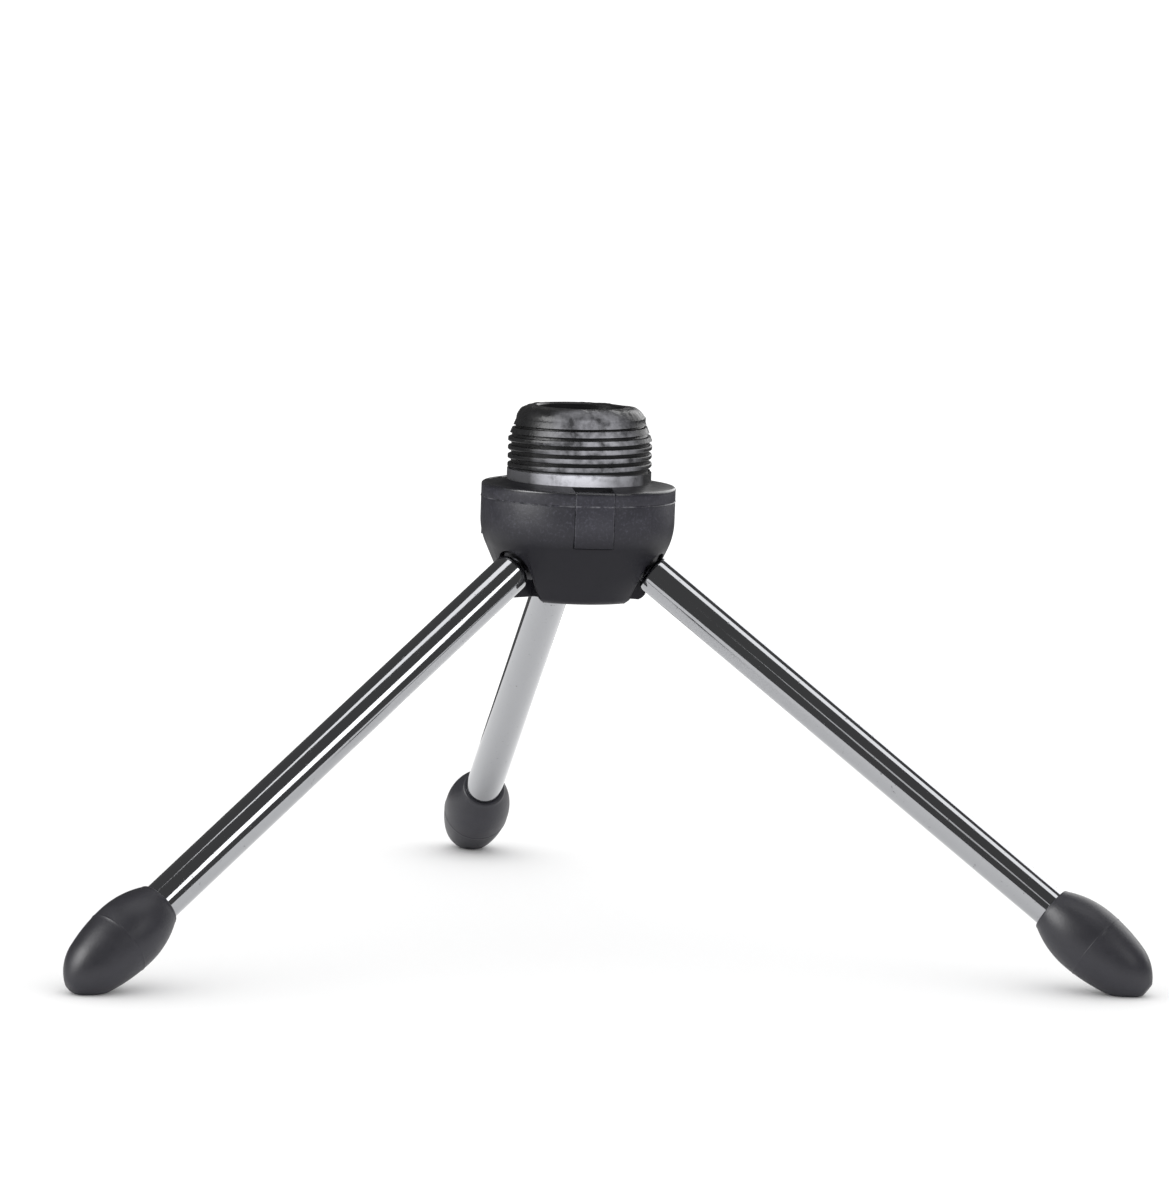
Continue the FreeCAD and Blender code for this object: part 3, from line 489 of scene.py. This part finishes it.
def stud_plastic(colours, sizes):
    """Blacker, glossier plastic: crests and plain end painted pale grey on the front, partly scuffs and partly painted
    highlight, and a painted highlight on a patch of the neck.
    """
    material, tree, shader, place = new_material("stud_plastic", metallic=0.0, specular=0.30)
    bottom = neck_mount["pos_m"][2] - sizes.neck / 2
    parts = add_node(tree, "ShaderNodeSeparateXYZ", {"Vector": place})
    height = parts.outputs["Z"]
    flat = add_node(tree, "ShaderNodeVectorMath", {0: place, 1: (1, 1, 0)}, operation="MULTIPLY").outputs[0]
    radius = add_node(tree, "ShaderNodeVectorMath", {0: flat}, operation="LENGTH").outputs["Value"]
    rough = noise(tree, place, 0.35 * MM, detail=4.0, roughness=0.6)
    blotches = noise(tree, place, 1.6 * MM, detail=4.0, roughness=0.6)
    front = stretch(tree, parts.outputs["Y"], -0.60 * sizes.radius, -0.95 * sizes.radius)
    above_cone = stretch(tree, height, bottom + sizes.neck + sizes.threaded - 2.0 * MM,
                         bottom + sizes.neck + sizes.threaded)
    crest_radius = stretch(tree, above_cone, 0.0, 1.0, sizes.radius, sizes.pilot)
    depth = calculate(tree, "SUBTRACT", crest_radius, radius)
    crest = stretch(tree, depth, 0.26 * MM, 0.08 * MM)
    # Crests and the plain end above the thread are painted pale on the front only: scuffs on the crests, with painted
    # highlight where the front faces the lights.
    front_scuff_and_sheen = calculate(tree, "MULTIPLY", front, stretch(tree, blotches, 0.34, 0.60, 0.15, 1.0))
    dome = stretch(tree, height, bottom + sizes.neck + sizes.threaded, bottom + sizes.neck + sizes.threaded + 0.2 * MM,
                   0.0, 0.8)
    scuff_and_sheen_places = calculate(tree, "MAXIMUM", crest, dome)
    shade = blend_colours(tree, calculate(tree, "MULTIPLY", scuff_and_sheen_places, front_scuff_and_sheen), tuple(colours.stud),
                          scaled(colours.stress_and_sheen, 1.35))
    # A pale patch on the front left of the neck: painted highlight, a softbox's reflection.
    on_neck = stretch(tree, height, bottom + sizes.neck + 0.15 * MM, bottom + sizes.neck)
    left = stretch(tree, parts.outputs["X"], 0.35 * sizes.radius, 0.0, 0.12, 1.0)
    neck_sheen = calculate(tree, "MULTIPLY", calculate(tree, "MULTIPLY", on_neck, left),
                       stretch(tree, blotches, 0.28, 0.46, 0.55, 1.0))
    painted_neck_highlight = calculate(tree, "MULTIPLY", neck_sheen, stretch(tree, front, 0.0, 1.0, 0.1, 1.0))
    shade = blend_colours(tree, painted_neck_highlight, shade, scaled(colours.stress_and_sheen, 3.4))
    tree.links.new(shade, shader.inputs["Base Color"])
    tree.links.new(stretch(tree, blotches, 0.3, 0.7, 0.24, 0.44), shader.inputs["Roughness"])
    bump(tree, shader, rough, 0.035 * MM)
    return material


def chrome(colours):
    """Bright chrome plate with faint waviness, tiny pits and dull specks."""
    material, tree, shader, place = new_material("chrome_plate", metallic=1.0)
    waves = noise(tree, place, 3.5 * MM, detail=3.0)
    pits = noise(tree, place, 0.55 * MM, detail=3.0, roughness=0.6)
    spots = stretch(tree, pits, 0.66, 0.74)
    shade = blend_colours(tree, calculate(tree, "MULTIPLY", spots, 0.6), tuple(colours.chrome),
                          scaled(colours.chrome, 0.35))
    tree.links.new(shade, shader.inputs["Base Color"])
    haze = stretch(tree, waves, 0.35, 0.70, 0.05, 0.10)
    tree.links.new(calculate(tree, "ADD", haze, calculate(tree, "MULTIPLY", spots, 0.25)),
                   shader.inputs["Roughness"])
    bump(tree, shader, calculate(tree, "SUBTRACT", waves, calculate(tree, "MULTIPLY", spots, 0.08)), 0.012 * MM)
    return material


def plated_steel(colours):
    """Zinc-plated steel for pins, screw, washer and nut."""
    material, tree, shader, place = new_material("plated_steel", metallic=1.0)
    streaks = noise(tree, place, 0.4 * MM, detail=5.0, roughness=0.7)
    shade = blend_colours(tree, streaks, scaled(colours.steel, 0.75), scaled(colours.steel, 1.15))
    tree.links.new(shade, shader.inputs["Base Color"])
    tree.links.new(stretch(tree, streaks, 0.3, 0.7, 0.22, 0.40), shader.inputs["Roughness"])
    bump(tree, shader, streaks, 0.006 * MM)
    return material


def dark_oxide(colours):
    """Steel for the eyes, painted dark as painted shade, since they sit in the shade of their slots."""
    material, tree, shader, place = new_material("dark_oxide", metallic=1.0)
    stains = noise(tree, place, 0.5 * MM, detail=4.0, roughness=0.6)
    shade = blend_colours(tree, stains, scaled(colours.eye_shade, 0.7), scaled(colours.eye_shade, 1.3))
    tree.links.new(shade, shader.inputs["Base Color"])
    tree.links.new(stretch(tree, stains, 0.3, 0.7, 0.42, 0.58), shader.inputs["Roughness"])
    bump(tree, shader, stains, 0.006 * MM)
    return material


def foot_rubber(colours):
    """Matt moulded rubber with a faint bloom and a fine skin."""
    material, tree, shader, place = new_material("foot_rubber", metallic=0.0, specular=0.52)
    bloom = noise(tree, place, 2.6 * MM, detail=4.0, roughness=0.55)
    skin = noise(tree, place, 0.22 * MM, detail=3.0, roughness=0.6)
    shade = blend_colours(tree, bloom, scaled(colours.rubber, 0.75), scaled(colours.rubber, 1.35))
    tree.links.new(shade, shader.inputs["Base Color"])
    tree.links.new(stretch(tree, bloom, 0.3, 0.7, 0.38, 0.48), shader.inputs["Roughness"])
    bump(tree, shader, calculate(tree, "ADD", skin, bloom), 0.018 * MM)
    return material


# ---- operators -----------------------------------------------------------------------------------

class MICSTAND_OT_stage(Operator):
    """Sets up the floor, the soft lights and the camera"""
    bl_idname = "mic_stand.stage"
    bl_label = "Stage"

    def execute(self, context):
        stage = context.scene.mic_stand_stage
        colours = context.scene.mic_stand_colours
        self.make_floor(colours)
        self.make_world()
        self.make_lights()
        self.make_camera(stage)
        context.scene.view_settings.view_transform = "Standard"
        return {"FINISHED"}

    def make_floor(self, colours):
        pick(None)
        bpy.ops.mesh.primitive_circle_add(vertices=96, radius=0.18, fill_type="NGON")
        floor = bpy.context.object
        floor.name = "floor"
        material, tree, shader, place = new_material("floor_paper", metallic=0.0, specular=0.1)
        speckle = noise(tree, place, 0.8 * MM, detail=2.0)
        shade = blend_colours(tree, speckle, scaled(colours.ground, 0.985), tuple(colours.ground))
        tree.links.new(shade, shader.inputs["Base Color"])
        shader.inputs["Roughness"].default_value = 0.9
        floor.data.materials.append(material)

    def make_world(self):
        """White all round for soft light, and a dark room for the chrome and the plastic to mirror."""
        world = bpy.data.worlds.new("studio")
        world.use_nodes = True
        tree = world.node_tree
        tree.nodes.clear()
        room = add_node(tree, "ShaderNodeBackground", {"Color": (1, 1, 1, 1), "Strength": 0.10})
        ground = add_node(tree, "ShaderNodeBackground", {"Color": (1, 1, 1, 1), "Strength": 1.2})
        ray = add_node(tree, "ShaderNodeLightPath").outputs["Is Glossy Ray"]
        both = add_node(tree, "ShaderNodeMixShader", {0: ray, 1: ground.outputs[0], 2: room.outputs[0]})
        add_node(tree, "ShaderNodeOutputWorld", {"Surface": both.outputs[0]})
        world.cycles.sampling_method = "NONE"
        bpy.context.scene.world = world

    def softbox(self, name, azimuth, elevation, away, depth, width, radiance):
        """A soft rectangular light for the reflections. It faces the hub, from a direction and distance."""
        around = math.radians(azimuth)
        above = math.radians(elevation)
        back = Vector((math.cos(around) * math.cos(above), math.sin(around) * math.cos(above), math.sin(above)))
        pick(None)
        bpy.ops.object.light_add(type="AREA", location=back * away)
        light = bpy.context.object
        light.name = name
        light.data.shape = "RECTANGLE"
        light.data.size = depth
        light.data.size_y = width
        light.data.energy = radiance * math.pi * width * depth
        light.visible_diffuse = False
        light.rotation_euler = (0, math.pi / 2 - above, around)

    def make_lights(self):
        self.softbox("overhead", -20, 79, 0.82, 0.70, 0.32, 1.7)
        self.softbox("key_right", -48, 29, 0.90, 0.28, 0.26, 3.2)
        self.softbox("box_left", -165, 30, 0.55, 0.38, 0.29, 9.0)
        self.softbox("panel_back", 45, 25, 0.90, 0.65, 0.84, 2.2)
        self.softbox("strip_front", -109, 28, 0.90, 0.10, 0.14, 0.8)

    def make_camera(self, stage):
        back = Vector((
            math.sin(stage.azimuth) * math.cos(stage.elevation),
            -math.cos(stage.azimuth) * math.cos(stage.elevation),
            math.sin(stage.elevation),
        ))
        level_right = Vector((math.cos(stage.azimuth), math.sin(stage.azimuth), 0))
        right = Matrix.Rotation(stage.roll, 3, back) @ level_right
        up = back.cross(right)
        rim = Vector((0, 0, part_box("pin_keeper_front")[1].z))
        pick(None)
        bpy.ops.object.camera_add()
        camera = bpy.context.object
        camera.name = "camera"
        place = rim + back * stage.distance + right * stage.aim_right - up * stage.aim_down
        camera.matrix_world = Matrix.Translation(place) @ Matrix((right, up, back)).transposed().to_4x4()
        camera.data.lens = stage.lens
        camera.data.clip_start = 0.01
        camera.data.dof.use_dof = False
        bpy.context.scene.camera = camera


class MICSTAND_OT_hub_body(Operator):
    """Models the bowl of the hub with its three leg slots"""
    bl_idname = "mic_stand.hub_body"
    bl_label = "Hub body"

    def execute(self, context):
        sizes = context.scene.mic_stand_hub
        legs = context.scene.mic_stand_legs
        colours = context.scene.mic_stand_colours
        bowl = turned("hub_bowl", self.outline(sizes), sides=192)
        three_cuts(bowl, lambda: self.upright_slot(sizes), LEGS.values())
        three_cuts(bowl, lambda: self.arch(sizes, legs), LEGS.values())
        three_cuts(bowl, lambda: self.tab_seat(sizes), KEEPERS.values())
        combine(bowl, rod(sizes.head_recess, sizes.bottom - MM, sizes.bottom + sizes.head_recess_depth))
        combine(bowl, rod(sizes.screw_hole, sizes.bottom, sizes.parting + MM))
        round_edges(bowl, sizes.edge)
        hand_over(bowl, "hub", hub_plastic("hub_plastic", colours, sizes), "hub_plastic", "hub_body")
        return {"FINISHED"}

    def outline(self, sizes):
        lean = sizes.petal_angle
        degrees = math.degrees(lean)
        knee_centre = (sizes.radius - sizes.knee, sizes.bottom + sizes.wall_foot)
        knee = arc(knee_centre, sizes.knee, -degrees, 0, 10)
        knee_foot = knee[0]
        foot_radius = knee_foot[0] - (knee_foot[1] - sizes.bottom) * math.tan(lean)
        rounding = sizes.bottom_rounding
        shift = rounding * math.tan((math.pi / 2 - lean) / 2)
        bottom = arc((foot_radius - shift, sizes.bottom + rounding), rounding, -90, -degrees, 8)
        upper = sizes.parting
        return bottom + knee + [(sizes.radius, upper - sizes.seam), (sizes.radius - sizes.seam, upper)]

    def upright_slot(self, sizes):
        half = sizes.slot_width / 2
        return block((sizes.slot_inner, -half, sizes.bottom - MM), (sizes.slot_outer, half, sizes.parting + MM))

    def arch(self, sizes, legs):
        """A cutter along the open leg: round above, upright sides below."""
        half = sizes.slot_width / 2
        start = hinge_distance(legs)
        cutter = rod(half, start, start + sizes.radius, sides=64)
        bpy.ops.object.mode_set(mode="EDIT")
        bpy.ops.mesh.select_all(action="DESELECT")
        bpy.ops.object.mode_set(mode="OBJECT")
        for point in cutter.data.vertices:
            point.select = point.co.x > 0.01 * half
        bpy.ops.object.mode_set(mode="EDIT")
        bpy.ops.transform.translate(value=(sizes.radius, 0, 0))
        bpy.ops.mesh.select_all(action="SELECT")
        bpy.ops.transform.translate(value=(sizes.arch_drop, 0, 0))
        bpy.ops.object.mode_set(mode="OBJECT")
        lay_on_leg(cutter, 0, legs)
        return cutter

    def tab_seat(self, sizes):
        """The opening in the wall that a keeper's tab fills."""
        half = sizes.tab_width / 2 + sizes.tab_gap
        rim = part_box("pin_keeper_front")[1].z
        return block((sizes.pocket_inner, -half, rim - sizes.tab_height - sizes.tab_gap),
                     (sizes.radius + MM, half, sizes.parting + MM))


class MICSTAND_OT_hub_cap(Operator):
    """Models the coned top plate with its three notches"""
    bl_idname = "mic_stand.hub_cap"
    bl_label = "Hub cap"

    def execute(self, context):
        sizes = context.scene.mic_stand_hub
        colours = context.scene.mic_stand_colours
        cap = turned("hub_top", self.outline(sizes), sides=192, ring=True)
        three_cuts(cap, lambda: self.notch(sizes), KEEPERS.values())
        round_edges(cap, 0.6 * sizes.edge)
        hand_over(cap, "hub", hub_plastic("cap_plastic", colours, sizes), "hub_plastic", "hub_cap")
        return {"FINISHED"}

    def outline(self, sizes):
        base = sizes.parting
        slope = math.degrees(sizes.cap_slope)
        rim = arc((sizes.radius - sizes.rim, base + sizes.cap_edge), sizes.rim, 0, 90 - slope, 6)
        top = rim[-1][1] + (rim[-1][0] - sizes.land) * math.tan(sizes.cap_slope)
        return [
            (sizes.screw_hole, base),
            (sizes.radius - sizes.seam, base),
            (sizes.radius, base + sizes.seam),
            *rim,
            (sizes.land, top),
            (sizes.seat, top),
            (sizes.seat, top - sizes.seat_depth),
            (sizes.screw_hole, top - sizes.seat_depth),
        ]

    def notch(self, sizes):
        half = sizes.tab_width / 2 + sizes.tab_gap
        return block((sizes.pocket_inner, -half, sizes.parting - MM), (sizes.radius + MM, half, sizes.parting + 4 * MM))


class MICSTAND_OT_keepers(Operator):
    """Models the three keepers whose tabs show between the legs"""
    bl_idname = "mic_stand.keepers"
    bl_label = "Pin keepers"

    def execute(self, context):
        sizes = context.scene.mic_stand_hub
        colours = context.scene.mic_stand_colours
        # The tabs get a lighter copy of the hub's plastic: painted light on their upright faces.
        finish = hub_plastic("tab_plastic", colours, sizes, painted_lightness=1.25)
        pattern = self.model(sizes)
        for side, azimuth in KEEPERS.items():
            tab = swing(copy_of(pattern, f"keeper_{side}"), azimuth)
            hand_over(tab, "hub", finish, "hub_plastic", f"pin_keeper_{side}")
        bpy.data.objects.remove(pattern)
        return {"FINISHED"}

    def model(self, sizes):
        """A tab cut from a turned ring, on a stem that reaches into the hub."""
        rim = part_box("pin_keeper_front")[1].z
        low = rim - sizes.tab_height
        inner = sizes.radius - sizes.lip
        half = sizes.tab_width / 2
        edge = arc((sizes.radius - sizes.rim, rim - sizes.rim), sizes.rim, 0, 90, 5)
        band = turned("keeper", [(inner, low), (sizes.radius, low), *edge, (inner, rim)], sides=192, ring=True)
        combine(band, block((0, -half, low - MM), (sizes.radius + MM, half, rim + MM)), "INTERSECT")
        stem = block((sizes.pocket_inner, -half, low), (inner + 0.1 * MM, half, sizes.parting - sizes.seam))
        combine(band, stem, "UNION")
        round_edges(band, 0.5 * sizes.edge)
        return band


class MICSTAND_OT_stud(Operator):
    """Models the threaded stud"""
    bl_idname = "mic_stand.stud"
    bl_label = "Threaded stud"

    def execute(self, context):
        sizes = context.scene.mic_stand_stud
        hub = context.scene.mic_stand_hub
        colours = context.scene.mic_stand_colours
        base = neck_mount["pos_m"][2] - sizes.neck / 2
        stud = turned("stud", self.outline(sizes, hub, base), sides=240, ring=True)
        combine(stud, self.thread(sizes, base + sizes.neck - 0.5 * MM), "UNION")
        combine(stud, self.lead_in(sizes, base + sizes.neck + sizes.threaded))
        self.roughen(stud, sizes)
        smooth(stud, 40)
        hand_over(stud, "hub", stud_plastic(colours, sizes), "stud_plastic", "threaded_stud")
        return {"FINISHED"}

    def outline(self, sizes, hub, base):
        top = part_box("threaded_stud")[1].z
        floor = base - hub.seat_depth + sizes.floor
        rounding = sizes.pilot_rounding
        neck_top = base + sizes.neck
        thread_top = neck_top + sizes.threaded
        pilot = arc((sizes.pilot - rounding, top - rounding), rounding, 0, 90, 12)
        cone_height = (sizes.root - sizes.pilot + sizes.groove) / math.tan(sizes.lead_in)
        return [
            (hub.screw_hole, base - hub.seat_depth),
            (hub.seat - hub.tab_gap, base - hub.seat_depth),
            (hub.seat - hub.tab_gap, base),
            (sizes.radius, base),
            (sizes.radius, neck_top),
            (sizes.root, neck_top),
            (sizes.root, thread_top - cone_height),
            (sizes.pilot - sizes.groove, thread_top),
            (sizes.pilot, thread_top),
            *pilot,
            (sizes.bore + 0.2 * MM, top),
            (sizes.bore, top - 0.2 * MM),
            (sizes.bore, floor),
            (hub.screw_hole, floor),
        ]

    def thread(self, sizes, start):
        """A closed tooth wound up the barrel by a Screw modifier."""
        base = sizes.tooth_foot
        inner = sizes.tooth_start
        pick(None)
        bpy.ops.mesh.primitive_plane_add(size=1, location=(0, 0, 0), rotation=(math.pi / 2, 0, 0))
        tooth = bpy.context.object
        settle(tooth)
        places = {
            (-1, -1): (inner, start),
            (1, -1): (sizes.radius, start + (base - sizes.crest) / 2),
            (1, 1): (sizes.radius, start + (base + sizes.crest) / 2),
            (-1, 1): (inner, start + base),
        }
        for point in tooth.data.vertices:
            corner = (1 if point.co.x > 0 else -1, 1 if point.co.z > 0 else -1)
            point.co = (places[corner][0], 0, places[corner][1])
        bpy.ops.object.mode_set(mode="EDIT")
        bpy.ops.mesh.select_all(action="SELECT")
        bpy.ops.mesh.delete(type="ONLY_FACE")
        bpy.ops.mesh.select_all(action="DESELECT")
        bpy.ops.object.mode_set(mode="OBJECT")
        for point in tooth.data.vertices:
            point.select = point.co.x > inner + 0.1 * MM
        bpy.ops.object.mode_set(mode="EDIT")
        bpy.ops.mesh.bevel(offset=sizes.crest_rounding, segments=3, affect="VERTICES")
        bpy.ops.object.mode_set(mode="OBJECT")
        screw = tooth.modifiers.new("wind", "SCREW")
        screw.angle = 2 * math.pi
        screw.screw_offset = sizes.pitch
        screw.iterations = sizes.turns
        screw.steps = 120
        screw.render_steps = 120
        bpy.ops.object.modifier_apply(modifier=screw.name)
        bpy.ops.object.mode_set(mode="EDIT")
        bpy.ops.mesh.select_all(action="SELECT")
        bpy.ops.mesh.fill_holes(sides=0)
        clean_up()
        return tooth

    def lead_in(self, sizes, height):
        """A ring that trims the thread to a cone at its top."""
        outside = sizes.radius + MM
        outline = [
            (sizes.pilot, height),
            (outside, height - (outside - sizes.pilot) / math.tan(sizes.lead_in)),
            (outside, height + 4 * MM),
            (sizes.pilot + 0.001 * MM, height + 4 * MM),
        ]
        return turned("lead_in", outline, sides=240, ring=True)

    def roughen(self, stud, sizes):
        """Uneven crests all over, and deep mould scars round the top edge."""
        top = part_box("threaded_stud")[1].z
        scarred = stud.vertex_groups.new(name="scarred")
        threads = stud.vertex_groups.new(name="threads")
        for point in stud.data.vertices:
            away = math.hypot(point.co.x, point.co.y)
            if away > sizes.pilot - sizes.pilot_rounding - 0.01 * MM and point.co.z > top - 1.2 * MM:
                depth = min(max((point.co.z - (top - 1.2 * MM)) / MM, 0.0), 1.0)
                scarred.add([point.index], depth, "REPLACE")
            if away > sizes.root + 0.3 * MM and point.co.z > top - 6.9 * MM:
                threads.add([point.index], 1.0, "REPLACE")
        for group, grain, depth in ((scarred, 1.1 * MM, sizes.scar), (threads, 0.8 * MM, 0.10 * MM)):
            texture = bpy.data.textures.new(group.name, "CLOUDS")
            texture.noise_scale = grain
            texture.noise_depth = 3
            displace = stud.modifiers.new(group.name, "DISPLACE")
            displace.texture = texture
            displace.texture_coords = "LOCAL"
            displace.vertex_group = group.name
            displace.strength = depth
            displace.mid_level = 0.75
            pick(stud)
            bpy.ops.object.modifier_apply(modifier=displace.name)


class MICSTAND_OT_leg_tubes(Operator):
    """Models the three chromed tubes"""
    bl_idname = "mic_stand.leg_tubes"
    bl_label = "Leg tubes"

    def execute(self, context):
        sizes = context.scene.mic_stand_legs
        colours = context.scene.mic_stand_colours
        finish = chrome(colours)
        start = hinge_distance(sizes) + sizes.start
        bore = sizes.radius - sizes.wall
        shoulder = arc((sizes.radius - sizes.roll, start + sizes.roll), sizes.roll, -90, 0, 12)
        inside = arc((sizes.radius - sizes.roll, start + sizes.roll), sizes.roll - sizes.wall, 0, -90, 4)
        mouth = [(sizes.eye_neck + 0.02 * MM, start + sizes.wall), (sizes.eye_neck + 0.02 * MM, start)]
        outline = [*shoulder, (sizes.radius, sizes.end), (bore, sizes.end), *inside, *mouth]
        pattern = turned("tube", outline, sides=128, ring=True)
        smooth(pattern, 50)
        for side, azimuth in LEGS.items():
            tube = copy_of(pattern, f"tube_{side}")
            lay_on_leg(tube, azimuth, sizes)
            hand_over(tube, f"leg_{side}", finish, "chrome", f"leg_tube_{side}")
        bpy.data.objects.remove(pattern)
        return {"FINISHED"}


class MICSTAND_OT_leg_eyes(Operator):
    """Models the three pierced tongues"""
    bl_idname = "mic_stand.leg_eyes"
    bl_label = "Leg eyes"

    def execute(self, context):
        sizes = context.scene.mic_stand_legs
        finish = dark_oxide(context.scene.mic_stand_colours)
        pattern = self.model(sizes)
        for side, azimuth in LEGS.items():
            eye = copy_of(pattern, f"eye_{side}")
            lay_on_leg(eye, azimuth, sizes)
            hand_over(eye, f"leg_{side}", finish, "steel", f"leg_eye_{side}")
        bpy.data.objects.remove(pattern)
        return {"FINISHED"}

    def model(self, sizes):
        hinge = hinge_distance(sizes)
        tongue_end = hinge + sizes.start - sizes.eye_gap
        half = sizes.eye_width / 2
        round_end = self.cross_rod(sizes.eye_radius, half, hinge)
        tongue = block((-sizes.eye_radius, -half, hinge), (sizes.eye_radius, half, tongue_end))
        combine(round_end, tongue, "UNION")
        combine(round_end, rod(sizes.eye_bar, hinge - 2 * sizes.eye_radius, tongue_end + MM), "INTERSECT")
        combine(round_end, self.cross_rod(sizes.pin_hole, half + MM, hinge))
        combine(round_end, rod(sizes.eye_neck, tongue_end - 0.3 * MM, tongue_end + 5 * MM, sides=48), "UNION")
        round_edges(round_end, 0.18 * MM, segments=3)
        return round_end

    def cross_rod(self, radius, half, along):
        """A cylinder along the hinge."""
        piece = rod(radius, -half, half, sides=64)
        piece.name = "eye"
        piece.rotation_euler = (math.pi / 2, 0, 0)
        piece.location = (0, 0, along)
        settle(piece)
        return piece


class MICSTAND_OT_feet(Operator):
    """Models the three rubber feet"""
    bl_idname = "mic_stand.feet"
    bl_label = "Rubber feet"

    def execute(self, context):
        sizes = context.scene.mic_stand_feet
        legs = context.scene.mic_stand_legs
        finish = foot_rubber(context.scene.mic_stand_colours)
        pattern = turned("foot", self.outline(sizes, legs), sides=128, ring=True)
        for side, azimuth in LEGS.items():
            foot = copy_of(pattern, f"foot_{side}")
            lay_on_leg(foot, azimuth, legs)
            self.flatten(foot)
            smooth(foot, 55)
            hand_over(foot, f"leg_{side}", finish, "rubber", f"rubber_foot_{side}")
        bpy.data.objects.remove(pattern)
        return {"FINISHED"}

    def outline(self, sizes, legs):
        """Lip, belly with its parting line, nose and bore."""
        bore = legs.radius + 0.01 * MM
        recess = legs.radius + 0.12 * MM
        rounding = sizes.mouth_rounding
        lip = arc((sizes.mouth_radius - rounding, rounding), rounding, -150, 0, 8)
        rise = sizes.belly_radius - sizes.mouth_radius
        rise_run = sizes.belly - rounding
        front = bulge((sizes.mouth_radius, rounding), (sizes.belly_radius, sizes.belly),
                      (rise_run ** 2 + rise ** 2) / (2 * rise), 18)
        fall = sizes.belly_radius - sizes.shoulder_radius
        run = sizes.shoulder - sizes.belly
        back = bulge((sizes.belly_radius, sizes.belly), (sizes.shoulder_radius, sizes.shoulder),
                     (run ** 2 + fall ** 2) / (2 * fall), 24)
        nose = bulge((sizes.shoulder_radius, sizes.shoulder), (sizes.tip, sizes.total), sizes.nose, 14)
        end = legs.end + 0.05 * MM - sizes.mouth
        inside = [(0.05 * MM, sizes.total), (0.05 * MM, end), (bore, end), (bore, 0.5 * MM), (recess, 0.15 * MM)]
        skin = [*lip, *front, *self.with_seam(back, sizes), *nose]
        return [(radius, height + sizes.mouth) for radius, height in [*skin, *inside]]

    def with_seam(self, points, sizes):
        """Raises a fine ridge at the parting line, with the far half of the mould a touch larger."""
        width = 0.10 * MM
        raised = []
        for (radius, height), (next_radius, next_height) in zip(points, points[1:]):
            raised.append((radius, height))
            if height <= sizes.seam < next_height:
                share = (sizes.seam - height) / (next_height - height)
                level = radius + (next_radius - radius) * share
                raised += [(level, sizes.seam - width), (level + sizes.seam_height, sizes.seam),
                           (level + 0.3 * sizes.seam_height, sizes.seam + width)]
        return [*raised, points[-1]]

    def flatten(self, foot):
        """Cuts the small flat that rests on the floor."""
        pick(foot)
        bpy.ops.object.mode_set(mode="EDIT")
        bpy.ops.mesh.select_all(action="SELECT")
        bpy.ops.mesh.bisect(plane_co=(0, 0, 0), plane_no=(0, 0, -1), use_fill=True, clear_outer=True,
                            threshold=MERGE)
        clean_up()


class MICSTAND_OT_hardware(Operator):
    """Finishes the pins, screw, washer and nut"""
    bl_idname = "mic_stand.hardware"
    bl_label = "Pins and fasteners"

    def execute(self, context):
        finish = plated_steel(context.scene.mic_stand_colours)
        names = ["clamp_screw", "clamp_washer", "clamp_nut", *(f"hinge_pin_{side}" for side in LEGS)]
        for name in names:
            node = frame["nodes"][name]
            node.data.materials.clear()
            node.data.materials.append(finish)
        return {"FINISHED"}


class MICSTAND_PT_panel(Panel):
    """Buttons for each piece, and the sizes and colours"""
    bl_idname = "MICSTAND_PT_panel"
    bl_label = "Mic stand"
    bl_space_type = "VIEW_3D"
    bl_region_type = "UI"
    bl_category = "Mic stand"

    def draw(self, context):
        for operator in OPERATORS:
            self.layout.operator(operator.bl_idname)
        for name in GROUPS:
            settings = getattr(context.scene, name)
            box = self.layout.box()
            for field in settings.__annotations__:
                box.prop(settings, field)


GROUPS = {
    "mic_stand_hub": HubSizes,
    "mic_stand_stud": StudSizes,
    "mic_stand_legs": LegSizes,
    "mic_stand_feet": FootSizes,
    "mic_stand_colours": StandColours,
    "mic_stand_stage": StageSizes,
}
OPERATORS = (
    MICSTAND_OT_stage,
    MICSTAND_OT_hub_body,
    MICSTAND_OT_hub_cap,
    MICSTAND_OT_keepers,
    MICSTAND_OT_stud,
    MICSTAND_OT_leg_tubes,
    MICSTAND_OT_leg_eyes,
    MICSTAND_OT_feet,
    MICSTAND_OT_hardware,
)


def register():
    for name, group in GROUPS.items():
        bpy.utils.register_class(group)
        setattr(bpy.types.Scene, name, PointerProperty(type=group))
    for item in (*OPERATORS, MICSTAND_PT_panel):
        bpy.utils.register_class(item)


def unregister():
    for item in reversed((*OPERATORS, MICSTAND_PT_panel)):
        bpy.utils.unregister_class(item)
    for name, group in reversed(list(GROUPS.items())):
        delattr(bpy.types.Scene, name)
        bpy.utils.unregister_class(group)


def main():
    register()
    bpy.ops.mic_stand.stage()
    bpy.ops.mic_stand.hub_body()
    bpy.ops.mic_stand.hub_cap()
    bpy.ops.mic_stand.keepers()
    bpy.ops.mic_stand.stud()
    bpy.ops.mic_stand.leg_tubes()
    bpy.ops.mic_stand.leg_eyes()
    bpy.ops.mic_stand.feet()
    bpy.ops.mic_stand.hardware()
    bpy.context.view_layer.update()


if __name__ == "__main__":
    main()
